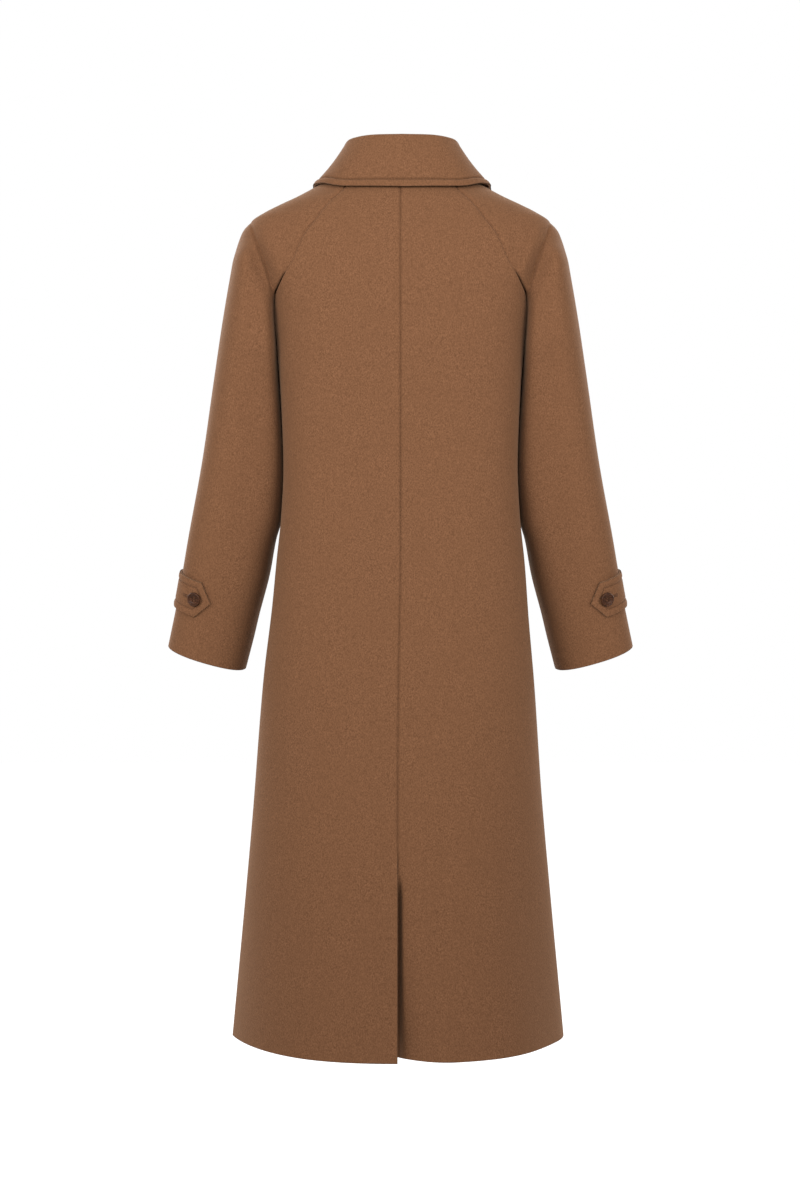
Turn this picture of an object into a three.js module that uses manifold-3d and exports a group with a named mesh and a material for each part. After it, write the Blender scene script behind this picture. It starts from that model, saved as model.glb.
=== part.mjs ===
// A long wool overcoat, filled out as if worn and standing in the open.
// Millimetres. The wearer faces -Y, the wearer's left is +X, +Z is up.
// The origin lies between the high points of the two shoulders, where the wearer's neck carries the coat.
import * as THREE from 'three';
import Module from 'manifold-3d';

// cloth and seams
const CLOTH = 2.4;
const COLLAR_CLOTH = 3.6;
const TAB_CLOTH = 3.2;
const SEAM_HALF_GAP = 0.15;
const NECK_GAP = 0.5;
const LAP_GAP = 1.2;
const LAID_GAP = 0.8;
const BUTTON_GAP = 0.4;
const FRONT_BUTTON_GAP = 0.75;

// lengths
const HEM_LEVEL = -1164;
const UNDERARM_LEVEL = -235;
const BACK_TOP = -6;
const FRONT_TOP = -10;
const CUFF_INNER_LEVEL = -671;
const VENT_TOP_LEVEL = -925;
const VENT_UNDERLAP = 40;
const VENT_EASE = 46;
const VENT_PRESS_LEVEL = -890;
const VENT_DROP = 4;
const VENT_RECESS = 24;
const VENT_RECESS_WIDTH = 77;
const VENT_LIFT = 7;
const FRONT_LAP = 45;
const FRONT_EASE = 26;

// the wearer's right half of the hem stands a little fuller behind
const FULL_HEM = { depth: 8, middle: 150, width: 70, top: -1000, reach: 50 };

// horizontal sections of the body: half width, depth behind and in front, squareness,
// how far it leans sideways, and how much it flattens at the side seams
const TORSO = [
  { z: 10, side: 62, back: 52, front: 36, square: 2.0, lean: 0, pinch: 0 },
  { z: 0, side: 78, back: 59, front: 44, square: 2.0, lean: 0, pinch: 0 },
  { z: -10, side: 94, back: 66, front: 52, square: 2.05, lean: 0, pinch: 0 },
  { z: -24, side: 117, back: 75.5, front: 62, square: 2.15, lean: 0, pinch: 0 },
  { z: -38, side: 142.5, back: 84, front: 70, square: 2.25, lean: 0, pinch: 0 },
  { z: -49, side: 165, back: 89, front: 75, square: 2.4, lean: 0, pinch: 0 },
  { z: -60, side: 186, back: 93, front: 80, square: 2.5, lean: 0, pinch: 0 },
  { z: -71, side: 201.5, back: 97, front: 84, square: 2.6, lean: 0, pinch: 0 },
  { z: -85, side: 207, back: 101, front: 91, square: 2.75, lean: 0, pinch: 0 },
  { z: -110, side: 199, back: 107, front: 100, square: 2.95, lean: 0, pinch: 0 },
  { z: -135, side: 188, back: 110.5, front: 107, square: 3.1, lean: 0, pinch: 0 },
  { z: -167, side: 176, back: 112.5, front: 113, square: 3.25, lean: 0, pinch: 0 },
  { z: -200, side: 170, back: 112, front: 116, square: 3.3, lean: 0, pinch: 0 },
  { z: -247, side: 165, back: 110, front: 117, square: 3.3, lean: 0, pinch: 0 },
  { z: -323, side: 160, back: 104, front: 114, square: 3.2, lean: 0, pinch: 0 },
  { z: -400, side: 157.5, back: 100, front: 110, square: 3.05, lean: 0, pinch: 0 },
  { z: -464, side: 160.5, back: 101, front: 110, square: 2.9, lean: 0, pinch: 0 },
  { z: -528, side: 167, back: 105, front: 112, square: 2.75, lean: 0.5, pinch: 0 },
  { z: -593, side: 172.5, back: 110, front: 116, square: 2.6, lean: 1.5, pinch: 0 },
  { z: -686, side: 182, back: 121, front: 124, square: 2.45, lean: 2.5, pinch: 0.08 },
  { z: -848, side: 194, back: 142, front: 143, square: 2.25, lean: 3.5, pinch: 0.24 },
  { z: -983, side: 206, back: 163, front: 162, square: 2.15, lean: 3.5, pinch: 0.36 },
  { z: -1164, side: 223, back: 195, front: 190, square: 2.1, lean: 3.5, pinch: 0.5 },
];

// the neck seam: its level round the neck, 90 at the centre back, 0 at the side, -90 at the centre front
const NECK_SEAM = [
  { turn: 90, z: -10 },
  { turn: 54, z: -6 },
  { turn: 27, z: -3.2 },
  { turn: 0, z: -1.5 },
  { turn: -21, z: -4 },
  { turn: -42, z: -10 },
  { turn: -61.7, z: -25 },
  { turn: -75, z: -45 },
  { turn: -90, z: -75 },
];

// the raglan seams: where they cross each body section, behind and in front
const RAGLAN = [
  { z: -6, behind: 54, before: -41 },
  { z: -10, behind: 54.5, before: -42 },
  { z: -20, behind: 55.8, before: -46 },
  { z: -32, behind: 58.3, before: -50 },
  { z: -52, behind: 62, before: -55 },
  { z: -74, behind: 64.2, before: -57 },
  { z: -105, behind: 58, before: -53 },
  { z: -133, behind: 49.5, before: -45.5 },
  { z: -161, behind: 32.6, before: -30.5 },
  { z: -174.6, behind: 21.6, before: -20.5 },
  { z: -190, behind: 14, before: -13.5 },
  { z: -205, behind: 9.5, before: -9.2 },
  { z: -217, behind: 6.2, before: -6 },
  { z: -227, behind: 3.2, before: -3.2 },
  { z: -235, behind: 0, before: 0 },
];

// the sleeve: each row runs from the over-arm seam to the raglan or under-arm seam, whose level is z;
// inner is how square the half of its section beside the body is
const SLEEVE = [
  { z: -6, over: -1.5, blend: 0, swell: 90, pitch: 0, inner: 2.2 },
  { z: -24, over: -12, blend: 0, swell: 90, pitch: 0, inner: 2.2 },
  { z: -55, over: -31, blend: 0, swell: 90, pitch: 0, inner: 2.2 },
  { z: -95, over: -58, blend: 0, swell: 90, pitch: 0, inner: 2.3 },
  { z: -118, over: -74, blend: 0.12, swell: 93, pitch: 0, inner: 2.6 },
  { z: -140, over: -92, blend: 0.45, swell: 90, pitch: 0, inner: 3.2 },
  { z: -158, over: -110, blend: 0.85, swell: 87, pitch: 0, inner: 3.8 },
  { z: -174, over: -128, blend: 1, swell: 84, pitch: 0, inner: 4.2 },
  { z: -205, over: -168, blend: 1, swell: 80, pitch: 1, inner: 4.5 },
  { z: -235, over: -212, blend: 1, swell: 78, pitch: 2, inner: 4.6 },
  { z: -323, over: -305, blend: 1, swell: 75, pitch: 3.5, inner: 4.6 },
  { z: -400, over: -380, blend: 1, swell: 70, pitch: 5, inner: 4.2 },
  { z: -464, over: -441, blend: 1, swell: 65, pitch: 7, inner: 3.5 },
  { z: -528, over: -502, blend: 1, swell: 60, pitch: 8.5, inner: 3 },
  { z: -593, over: -564, blend: 1, swell: 55.5, pitch: 9.8, inner: 2.6 },
  { z: -671, over: -640, blend: 1, swell: 51, pitch: 10, inner: 2.4 },
];

const OUTER_SQUARE = 2.2;
const OPEN_ARM_REACH = 176;

// the over-arm seam below the shoulder point
const OVER_ARM = [
  { z: -60, x: 186, y: 0 },
  { z: -71, x: 201.5, y: 0 },
  { z: -81, x: 211.5, y: 0 },
  { z: -92, x: 216.7, y: -0.5 },
  { z: -113, x: 223, y: -1 },
  { z: -146, x: 229.6, y: -1.5 },
  { z: -200, x: 239.2, y: -2.5 },
  { z: -281, x: 251.8, y: -7 },
  { z: -389, x: 268, y: -12 },
  { z: -497, x: 289, y: -26 },
  { z: -578, x: 304, y: -42 },
  { z: -640, x: 317, y: -57 },
];

// the under-arm seam: how far it lies from the middle
const UNDER_ARM = [
  { z: -174, x: 175, y: 0 },
  { z: -235, x: 166.3, y: 0 },
  { z: -270, x: 165, y: -12 },
  { z: -323, x: 161.4, y: -26 },
  { z: -400, x: 157.6, y: -36 },
  { z: -464, x: 162, y: -42 },
  { z: -497, x: 171, y: -45 },
  { z: -541, x: 179, y: -49 },
  { z: -601, x: 194, y: -56 },
  { z: -626, x: 199.5, y: -59 },
  { z: -671, x: 210.5, y: -64 },
];

// the fold that hangs from each shoulder point down to the armpit
const ARM_FOLD = [
  { z: -62, x: 204, depth: 0 },
  { z: -77, x: 199.5, depth: 2.5 },
  { z: -96, x: 193.5, depth: 7 },
  { z: -118, x: 185, depth: 11 },
  { z: -143, x: 176, depth: 14 },
  { z: -159, x: 171.5, depth: 12 },
  { z: -176, x: 168, depth: 6 },
  { z: -192, x: 166.5, depth: 0 },
];
const FOLD_BODY_WIDTH = 9;
const FOLD_SLEEVE_WIDTH = 18;
const FOLD_REACH = 30;

// the skirt leans a little to the wearer's left below this level
const LEAN_LEVEL = -480;
const LEAN_DEPTH = 200;

// the collar: its fold line and the outer edge of its leaf, round the neck
const COLLAR = [
  { turn: 90, foldX: 0, foldY: 72, foldZ: 36.2, edgeTurn: 90, edgeZ: -38.5, swell: 3 },
  { turn: 60, foldX: 40, foldY: 64, foldZ: 36.8, edgeTurn: 62, edgeZ: -37, swell: 2.5 },
  { turn: 30, foldX: 68, foldY: 34, foldZ: 36.8, edgeTurn: 33, edgeZ: -28, swell: -0.8 },
  { turn: 0, foldX: 73.5, foldY: -4, foldZ: 33, edgeTurn: 0, edgeZ: -24.4, swell: -3 },
  { turn: -30, foldX: 62, foldY: -38, foldZ: 15, edgeTurn: -27, edgeZ: -34, swell: 0 },
  { turn: -60, foldX: 37, foldY: -68, foldZ: -18, edgeTurn: -50, edgeZ: -66, swell: 2 },
  { turn: -86, foldX: 8, foldY: -87, foldZ: -51, edgeTurn: -68, edgeZ: -104, swell: 2 },
];
const FOLD_RADIUS = 6.2;
const COLLAR_STATIONS = 19;
const COLLAR_LEAN = -2;

// tabs and buttons
const TAB = { level: -590, halfHeight: 24, start: -0.3, shoulder: 0.335, tip: 0.43, button: 0.314 };
const TAB_BUTTON = { radius: 9.6, thick: 4.4 };
const FRONT_BUTTON = { radius: 12.5, thick: 4.8 };
const FRONT_BUTTON_LEVELS = [-118, -250, -382, -514];

// levels of the grid rows
const ARMHOLE_ROWS = [
  -6, -14, -24, -38, -55, -74, -95, -116, -136, -152, -164, -176, -190, -204, -217, -228, -235,
];
const BODY_ROWS = [
  -268, -320, -395, -464, -528, -593, -670, -760, -850, -900, VENT_TOP_LEVEL, -960, -1030, -1100,
];
const ROWS_FACING_BACK = ARMHOLE_ROWS.length + 8;
const SLEEVE_ROWS = [-262, -300, -350, -400, -450, -497, -541, -585, -628, CUFF_INNER_LEVEL];
const BODY_COLUMNS = 10;
const SLEEVE_COLUMNS = 13;
const FINE = 96;

// where the line through a sleeve's middle starts, and its highest level
const MIDDLE_FROM = -150;
const MIDDLE_TOP = -110;

// the collar's turns at the centre back and front, and the stand's place under the fold
const COLLAR_BACK = 90;
const COLLAR_FRONT = -86;
const STAND_TOP = { out: -0.42, up: -0.55 };
const STAND_HOLLOW = 1.5;

// the flat strip inside the front edge's ease
const FRONT_FLAT = 4;

const RAD = Math.PI / 180;
const lerp = (a, b, t) => a + (b - a) * t;
const clamp01 = (t) => Math.min(1, Math.max(0, t));
const smooth = (t) => {
  const c = clamp01(t);
  return c * c * (3 - 2 * c);
};
const easeIn = (f) => 2 * f * f - f * f * f;

// a smooth curve through one column of a table, with no overshoot
function column(rows, key, name) {
  const sorted = [...rows].sort((p, q) => p[key] - q[key]);
  const xs = sorted.map((r) => r[key]);
  const ys = sorted.map((r) => r[name]);
  const last = xs.length - 1;
  const steps = xs.slice(1).map((x, i) => x - xs[i]);
  const slopes = steps.map((h, i) => (ys[i + 1] - ys[i]) / h);
  const tangents = xs.map((_, i) => {
    if (i === 0) return slopes[0];
    if (i === last) return slopes[last - 1];
    if (slopes[i - 1] * slopes[i] <= 0) return 0;
    const w1 = 2 * steps[i] + steps[i - 1];
    const w2 = steps[i] + 2 * steps[i - 1];
    return (w1 + w2) / (w1 / slopes[i - 1] + w2 / slopes[i]);
  });
  return (x) => {
    if (x <= xs[0]) return ys[0] + tangents[0] * (x - xs[0]);
    if (x >= xs[last]) return ys[last] + tangents[last] * (x - xs[last]);
    let i = 0;
    while (x > xs[i + 1]) i += 1;
    const h = steps[i];
    const t = (x - xs[i]) / h;
    const s = 1 - t;
    const ends = (1 + 2 * t) * s * s * ys[i] + t * t * (3 - 2 * t) * ys[i + 1];
    return ends + t * s * h * (s * tangents[i] - t * tangents[i + 1]);
  };
}

const torso = Object.fromEntries(
  ['side', 'back', 'front', 'square', 'lean', 'pinch'].map((name) => [name, column(TORSO, 'z', name)]),
);
const neckLevel = column(NECK_SEAM, 'turn', 'z');
const raglan = { behind: column(RAGLAN, 'z', 'behind'), before: column(RAGLAN, 'z', 'before') };
const sleeve = Object.fromEntries(
  ['over', 'blend', 'swell', 'pitch', 'inner'].map((name) => [name, column(SLEEVE, 'z', name)]),
);
const overArm = { x: column(OVER_ARM, 'z', 'x'), y: column(OVER_ARM, 'z', 'y') };
const underArm = { x: column(UNDER_ARM, 'z', 'x'), y: column(UNDER_ARM, 'z', 'y') };
const armFold = { x: column(ARM_FOLD, 'z', 'x'), depth: column(ARM_FOLD, 'z', 'depth') };
const COLLAR_COLUMNS = ['foldX', 'foldY', 'foldZ', 'edgeTurn', 'edgeZ', 'swell'];
const collar = Object.fromEntries(COLLAR_COLUMNS.map((name) => [name, column(COLLAR, 'turn', name)]));

const seamTurn = (level, behind) => (behind ? raglan.behind(level) : raglan.before(level));
const power = (value, exponent) => Math.sign(value) * Math.abs(value) ** exponent;

// a point on the body's section at one level, turn 90 behind, 0 at the wearer's left, -90 in front
function torsoPoint(turn, z) {
  const exponent = 2 / torso.square(z);
  const depth = turn > 0 ? torso.back(z) : torso.front(z);
  const across = power(Math.cos(turn * RAD), exponent);
  const x = torso.side(z) * across;
  const y = depth * power(Math.sin(turn * RAD), exponent) * (1 - torso.pinch(z) * across ** 6);
  return new THREE.Vector3(x, y, z);
}

// the shoulder fold presses the cloth in where it hangs
function settle(p) {
  const away = Math.abs(p.x) - armFold.x(p.z);
  const width = away < 0 ? FOLD_BODY_WIDTH : FOLD_SLEEVE_WIDTH;
  const inFold = p.z < ARM_FOLD[0].z && p.z > ARM_FOLD[ARM_FOLD.length - 1].z;
  const depth = inFold ? armFold.depth(p.z) * Math.exp(-((away / width) ** 2)) : 0;
  const reach = smooth(Math.abs(p.y) / FOLD_REACH);
  const q = p.clone();
  q.y -= Math.sign(p.y) * depth * reach;
  q.x += torso.lean(p.z) * smooth((p.z - LEAN_LEVEL) / -LEAN_DEPTH);
  return q;
}

function torsoNormal(turn, z) {
  const across = torsoPoint(turn + 0.2, z).sub(torsoPoint(turn - 0.2, z));
  const down = torsoPoint(turn, z - 0.4).sub(torsoPoint(turn, z + 0.4));
  return across.cross(down).normalize().negate();
}

// even spacing along a finely drawn row
function respace(fine, count) {
  const run = [0];
  for (let i = 1; i < fine.length; i += 1) run.push(run[i - 1] + fine[i].distanceTo(fine[i - 1]));
  const total = run[run.length - 1];
  const out = [];
  let k = 0;
  for (let c = 0; c <= count; c += 1) {
    const want = (total * c) / count;
    while (k < fine.length - 2 && run[k + 1] < want) k += 1;
    const t = clamp01((want - run[k]) / (run[k + 1] - run[k] || 1));
    out.push(fine[k].clone().lerp(fine[k + 1], t));
  }
  return out;
}

// a closed wall: outer points, outward directions and thickness, over the cells of a grid that are kept
function wall(points, normals, thickness, keep = () => true) {
  const rows = points.length;
  const columns = points[0].length;
  const id = (r, c) => r * columns + c;
  const outer = points.flat();
  const inner = outer.map((p, i) => p.clone().addScaledVector(normals.flat()[i], -thickness));
  const faces = [];
  const edges = new Map();
  const note = (a, b) => {
    const back = `${b}_${a}`;
    if (edges.has(back)) edges.delete(back);
    else edges.set(`${a}_${b}`, [a, b]);
  };
  for (let r = 0; r < rows - 1; r += 1) {
    for (let c = 0; c < columns - 1; c += 1) {
      if (keep(r, c)) {
        const cell = [id(r, c), id(r + 1, c), id(r + 1, c + 1), id(r, c + 1)];
        faces.push([cell[0], cell[1], cell[2]], [cell[0], cell[2], cell[3]]);
        cell.forEach((a, i) => note(a, cell[(i + 1) % 4]));
      }
    }
  }
  const shift = outer.length;
  const tris = [];
  faces.forEach(([a, b, c]) => tris.push([a, b, c], [a + shift, c + shift, b + shift]));
  edges.forEach(([a, b]) => tris.push([b, a, a + shift], [b, a + shift, b + shift]));
  return closed([...outer, ...inner], tris);
}

// a closed body from points and triangles, unused points dropped, faces turned outward
function closed(points, tris) {
  let volume = 0;
  tris.forEach(([a, b, c]) => {
    volume += points[a].dot(points[b].clone().cross(points[c])) / 6;
  });
  const used = new Map();
  const position = [];
  const index = [];
  tris.forEach(([a, b, c]) => {
    const order = volume > 0 ? [a, b, c] : [a, c, b];
    order.forEach((v) => {
      if (!used.has(v)) {
        used.set(v, used.size);
        position.push(points[v].x, points[v].y, points[v].z);
      }
      index.push(used.get(v));
    });
  });
  const geometry = new THREE.BufferGeometry();
  geometry.setAttribute('position', new THREE.Float32BufferAttribute(position, 3));
  geometry.setIndex(index);
  return geometry;
}

// outward directions over a grid, from its own cells, facing away from the middle line given
function gridNormals(points, middle) {
  const last = points[0].length - 1;
  return points.map((row, r) => row.map((p, c) => {
    const along = row[Math.min(c + 1, last)].clone().sub(row[Math.max(c - 1, 0)]);
    const above = points[Math.max(r - 1, 0)][c];
    const below = points[Math.min(r + 1, points.length - 1)][c];
    const n = along.cross(below.clone().sub(above)).normalize();
    return n.dot(p.clone().sub(middle(p, r))) < 0 ? n.negate() : n;
  }));
}

// outward directions along one seam, from the seam itself and the way the cloth crosses it
function seamNormals(points, normals, columnIndex, across) {
  points.forEach((row, r) => {
    const above = points[Math.max(r - 1, 0)][columnIndex];
    const below = points[Math.min(r + 1, points.length - 1)][columnIndex];
    const share = across(r, row[columnIndex]);
    if (!share) return;
    const n = share.way.clone().cross(below.clone().sub(above)).normalize();
    if (n.dot(normals[r][columnIndex]) < 0) n.negate();
    normals[r][columnIndex].lerp(n, share.weight).normalize();
  });
}

const straightAcross = () => ({ way: new THREE.Vector3(1, 0, 0), weight: 1 });

// the way the body's section runs where a row meets its raglan or side seam
function sectionAcross(level, behind) {
  const turn = level > UNDERARM_LEVEL ? seamTurn(level, behind) : 0;
  const way = settle(torsoPoint(turn + 0.5, level)).sub(settle(torsoPoint(turn - 0.5, level)));
  return way.normalize();
}

// a border is drawn back from its seam
function drawIn(points, side, by) {
  const last = points[0].length - 1;
  const [edge, next] = side === 'start' ? [0, 1] : [last, last - 1];
  points.forEach((row) => {
    const away = row[next].clone().sub(row[edge]).normalize();
    row[edge].addScaledVector(away, by);
  });
}

const mirrored = (p) => new THREE.Vector3(-p.x, p.y, p.z);

// the turn at which the body's section reaches a given distance from the middle
function turnAt(x, z) {
  return Math.acos(Math.min(1, (x / torso.side(z)) ** (torso.square(z) / 2))) / RAD;
}

// one row of a body panel, from the centre line to the raglan or side seam
function bodyRow(level, behind) {
  const sign = behind ? 1 : -1;
  const seam = behind ? raglan.behind : raglan.before;
  const topTurn = seam(behind ? BACK_TOP : FRONT_TOP);
  const top = neckLevel(topTurn);
  const open = level > UNDERARM_LEVEL;
  const r = open ? clamp01((level - top) / (UNDERARM_LEVEL - top)) : 1;
  const start = open ? Math.min(level, top) : level;
  const end = open ? seam(start) : 0;
  const fine = [];
  for (let i = 0; i <= FINE; i += 1) {
    const f = 1 - (1 - i / FINE) ** 1.25;
    const turn = lerp(90 * sign, end, f);
    const neck = neckLevel(lerp(90 * sign, topTurn, f));
    const z = open ? lerp(neck, UNDERARM_LEVEL, r) : level;
    fine.push(torsoPoint(turn, z));
  }
  return fine;
}

// the body panel's own columns, with the lap beyond the centre line at the start
function bodyPanel({ left, behind, lap }) {
  const levels = [...ARMHOLE_ROWS, ...BODY_ROWS, HEM_LEVEL];
  const rows = levels.map((level) => {
    const row = respace(bodyRow(level, behind), BODY_COLUMNS);
    const sign = behind ? 1 : -1;
    const beyond = lap.map((x) => {
      const z = row[0].z;
      const p = torsoPoint(sign * turnAt(x, z), z);
      return mirrored(p);
    });
    return [...beyond.reverse(), ...row];
  });
  return left ? rows : rows.map((row) => row.map(mirrored));
}

const bodyMiddle = (p) => new THREE.Vector3(0, 0, p.z - 20);

const finish = {
  wool: (r, g, b) => new THREE.MeshStandardMaterial({
    color: new THREE.Color().setRGB(r, g, b, THREE.SRGBColorSpace),
    roughness: 0.92,
    metalness: 0,
  }),
  horn: () => new THREE.MeshStandardMaterial({
    color: new THREE.Color().setRGB(0.25, 0.15, 0.1, THREE.SRGBColorSpace),
    roughness: 0.35,
    metalness: 0,
  }),
};

const group = new THREE.Group();
group.name = 'wool_overcoat';

function add(name, geometry, material) {
  const mesh = new THREE.Mesh(geometry, material);
  mesh.name = name;
  group.add(mesh);
}

const WOOL = [0.55, 0.4, 0.3];

// body panels

// presses a panel in where the other side's lap lies over it
function underLap(points, normals, amount) {
  points.forEach((row, r) => row.forEach((p, c) => {
    p.addScaledVector(normals[r][c], -amount(p));
  }));
}

const ventNear = (p) => clamp01((p.x + VENT_RECESS_WIDTH) / VENT_RECESS_WIDTH) ** 2;

// how far the under side of the vent lies below the section
function ventRecess(p) {
  const down = smooth((p.z - VENT_PRESS_LEVEL) / (VENT_TOP_LEVEL - VENT_PRESS_LEVEL));
  const open = clamp01((p.z - VENT_TOP_LEVEL) / (HEM_LEVEL - VENT_TOP_LEVEL));
  const near = smooth((p.x + VENT_EASE) / VENT_EASE);
  return down * near * (CLOTH + LAP_GAP + VENT_DROP * open) + VENT_RECESS * ventNear(p) * open ** 1.5;
}

// how far the hem of that side rises toward the vent
function ventLift(p) {
  return VENT_LIFT * ventNear(p) * smooth((p.z - VENT_TOP_LEVEL) / (HEM_LEVEL - VENT_TOP_LEVEL));
}

function hemFullness(p) {
  const down = smooth((p.z - FULL_HEM.top) / (HEM_LEVEL - FULL_HEM.top));
  const across = Math.exp(-(((Math.abs(p.x) - FULL_HEM.middle) / FULL_HEM.width) ** 2));
  return FULL_HEM.depth * down * across * smooth(p.y / FULL_HEM.reach);
}

function bodyFacing(settled, left, behind) {
  const facing = gridNormals(settled, bodyMiddle);
  const levels = [...ARMHOLE_ROWS, ...BODY_ROWS, HEM_LEVEL];
  seamNormals(settled, facing, settled[0].length - 1, (r) => {
    const way = sectionAcross(levels[r], behind);
    return { way: left ? way : mirrored(way), weight: 1 };
  });
  return facing;
}

function backPanel(left) {
  const lap = left ? [] : [VENT_UNDERLAP * 0.5, VENT_UNDERLAP];
  const points = bodyPanel({ left, behind: true, lap });
  const normals = gridNormals(points, bodyMiddle);
  const centre = lap.length;
  if (!left) underLap(points, normals, (p) => ventRecess(p) - hemFullness(p));
  if (!left) points.forEach((row) => row.forEach((p) => p.setZ(p.z + ventLift(p))));
  points.forEach((row) => {
    row[centre].x += (left ? 1 : -1) * SEAM_HALF_GAP;
  });
  const settled = points.map((row) => row.map(settle));
  const facing = bodyFacing(settled, left, true);
  const facesBack = (r) => left || r <= ROWS_FACING_BACK;
  seamNormals(settled, facing, centre, (r) => (facesBack(r) ? straightAcross() : null));
  drawIn(settled, 'end', SEAM_HALF_GAP);
  const vent = ARMHOLE_ROWS.length + BODY_ROWS.indexOf(VENT_TOP_LEVEL);
  const geometry = wall(settled, facing, CLOTH, (r, c) => c >= centre || r >= vent);
  add(left ? 'back_left' : 'back_right', geometry, finish.wool(...WOOL));
}

function frontPanel(left) {
  const points = bodyPanel({ left, behind: false, lap: [FRONT_LAP * 0.5, FRONT_LAP] });
  const normals = gridNormals(points, bodyMiddle);
  if (!left) {
    const depth = CLOTH + LAP_GAP;
    underLap(points, normals, (p) => depth * smooth((p.x + FRONT_LAP + FRONT_EASE) / (FRONT_EASE - FRONT_FLAT)));
  }
  const settled = points.map((row) => row.map(settle));
  const facing = bodyFacing(settled, left, false);
  drawIn(settled, 'end', SEAM_HALF_GAP);
  const geometry = wall(settled, facing, CLOTH);
  add(left ? 'front_left' : 'front_right', geometry, finish.wool(...WOOL));
}

// sleeves

function overPoint(level) {
  const z = sleeve.over(level);
  const onShoulder = z > OVER_ARM[1].z;
  return new THREE.Vector3(onShoulder ? torso.side(z) : overArm.x(z), onShoulder ? 0 : overArm.y(z), z);
}

function innerPoint(level, behind) {
  if (level > UNDERARM_LEVEL) return torsoPoint(seamTurn(level, behind), level);
  return new THREE.Vector3(underArm.x(level), underArm.y(level), level);
}

// the part of a row that still lies on the shoulder
function shoulderRow(level, behind) {
  const over = overPoint(level);
  const end = seamTurn(Math.max(level, UNDERARM_LEVEL), behind);
  const stretch = over.x / torso.side(over.z) - 1;
  const fine = [];
  for (let i = 0; i <= FINE; i += 1) {
    const f = (i / FINE) ** 1.3;
    const z = lerp(over.z, level, easeIn(f));
    const p = torsoPoint(end * f, z);
    p.x *= 1 + stretch * (1 - f) ** 2;
    p.y += over.y * (1 - f) ** 2;
    fine.push(p);
  }
  return fine;
}

// the part of a row that is a sleeve: a rounded section through the over-arm and inner points
function tubeRow(level, behind) {
  const sign = behind ? 1 : -1;
  const over = overPoint(level);
  const inner = innerPoint(level, behind);
  const openArm = level > UNDERARM_LEVEL;
  const virtual = openArm ? Math.min(underArm.x(Math.max(level, UNDERARM_LEVEL)), OPEN_ARM_REACH) : inner.x;
  const middleX = (over.x + virtual) / 2;
  const square = sleeve.inner(level);
  const swell = sleeve.swell(level);
  const middleY = underArm.y(Math.min(level, UNDER_ARM[0].z));
  const rise = openArm ? Math.min(0.97, Math.abs(inner.y - middleY) / swell) : 0;
  const endTurn = 180 - Math.asin(rise ** (square / 2)) / RAD;
  const inwards = (middleX - inner.x) / Math.abs(Math.cos(endTurn * RAD)) ** (2 / square);
  const pitch = sleeve.pitch(level) * RAD;
  const fine = [];
  for (let i = 0; i <= FINE; i += 1) {
    const turn = (endTurn * i) / FINE;
    const exponent = 2 / (turn < 90 ? OUTER_SQUARE : square);
    const cos = power(Math.cos(turn * RAD), exponent);
    const sin = power(Math.sin(turn * RAD), exponent);
    const x = cos > 0 ? middleX + (over.x - middleX) * cos : middleX + inwards * cos;
    const f = clamp01((over.x - x) / (over.x - inner.x));
    const out = swell * sin;
    const y = lerp(over.y, middleY, f) + sign * out * Math.cos(pitch);
    const z = lerp(over.z, inner.z, f) - sign * out * Math.sin(pitch);
    fine.push(new THREE.Vector3(x, y, z));
  }
  fine[FINE].copy(inner);
  return fine;
}

function sleeveRow(level, behind) {
  const blend = clamp01(sleeve.blend(level));
  const tube = respace(tubeRow(level, behind), FINE);
  if (blend >= 1) return tube;
  const shoulder = respace(shoulderRow(level, behind), FINE);
  if (blend <= 0) return shoulder;
  return shoulder.map((p, i) => p.lerp(tube[i], blend));
}

function sleeveMiddle(level) {
  const over = overPoint(level);
  const inner = innerPoint(Math.min(level, MIDDLE_FROM), true);
  return new THREE.Vector3((over.x + inner.x) / 2, over.y, Math.min((over.z + level) / 2, MIDDLE_TOP));
}

function sleevePanel(left, behind) {
  const first = behind ? BACK_TOP : FRONT_TOP;
  const levels = [...ARMHOLE_ROWS, ...SLEEVE_ROWS].map((level) => Math.min(level, first));
  const rows = levels.map((level) => respace(sleeveRow(level, behind), SLEEVE_COLUMNS));
  const placed = rows.map((row) => row.map(settle));
  const normals = gridNormals(placed, (p, r) => sleeveMiddle(levels[r]));
  const armWay = (r) => {
    const pitch = sleeve.pitch(levels[r]) * RAD;
    return { way: new THREE.Vector3(0, Math.cos(pitch), -Math.sin(pitch)), weight: 1 };
  };
  seamNormals(placed, normals, 0, armWay);
  seamNormals(placed, normals, SLEEVE_COLUMNS, (r) => {
    if (levels[r] <= UNDERARM_LEVEL) return armWay(r);
    return { way: sectionAcross(levels[r], behind), weight: 1 - clamp01(sleeve.blend(levels[r])) };
  });
  drawIn(placed, 'start', SEAM_HALF_GAP);
  drawIn(placed, 'end', SEAM_HALF_GAP);
  const points = left ? placed : placed.map((row) => row.map(mirrored));
  const facing = left ? normals : normals.map((row) => row.map(mirrored));
  const name = `sleeve_${left ? 'left' : 'right'}_${behind ? 'back' : 'front'}`;
  add(name, wall(points, facing, CLOTH), finish.wool(...WOOL));
}

// collar

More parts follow.
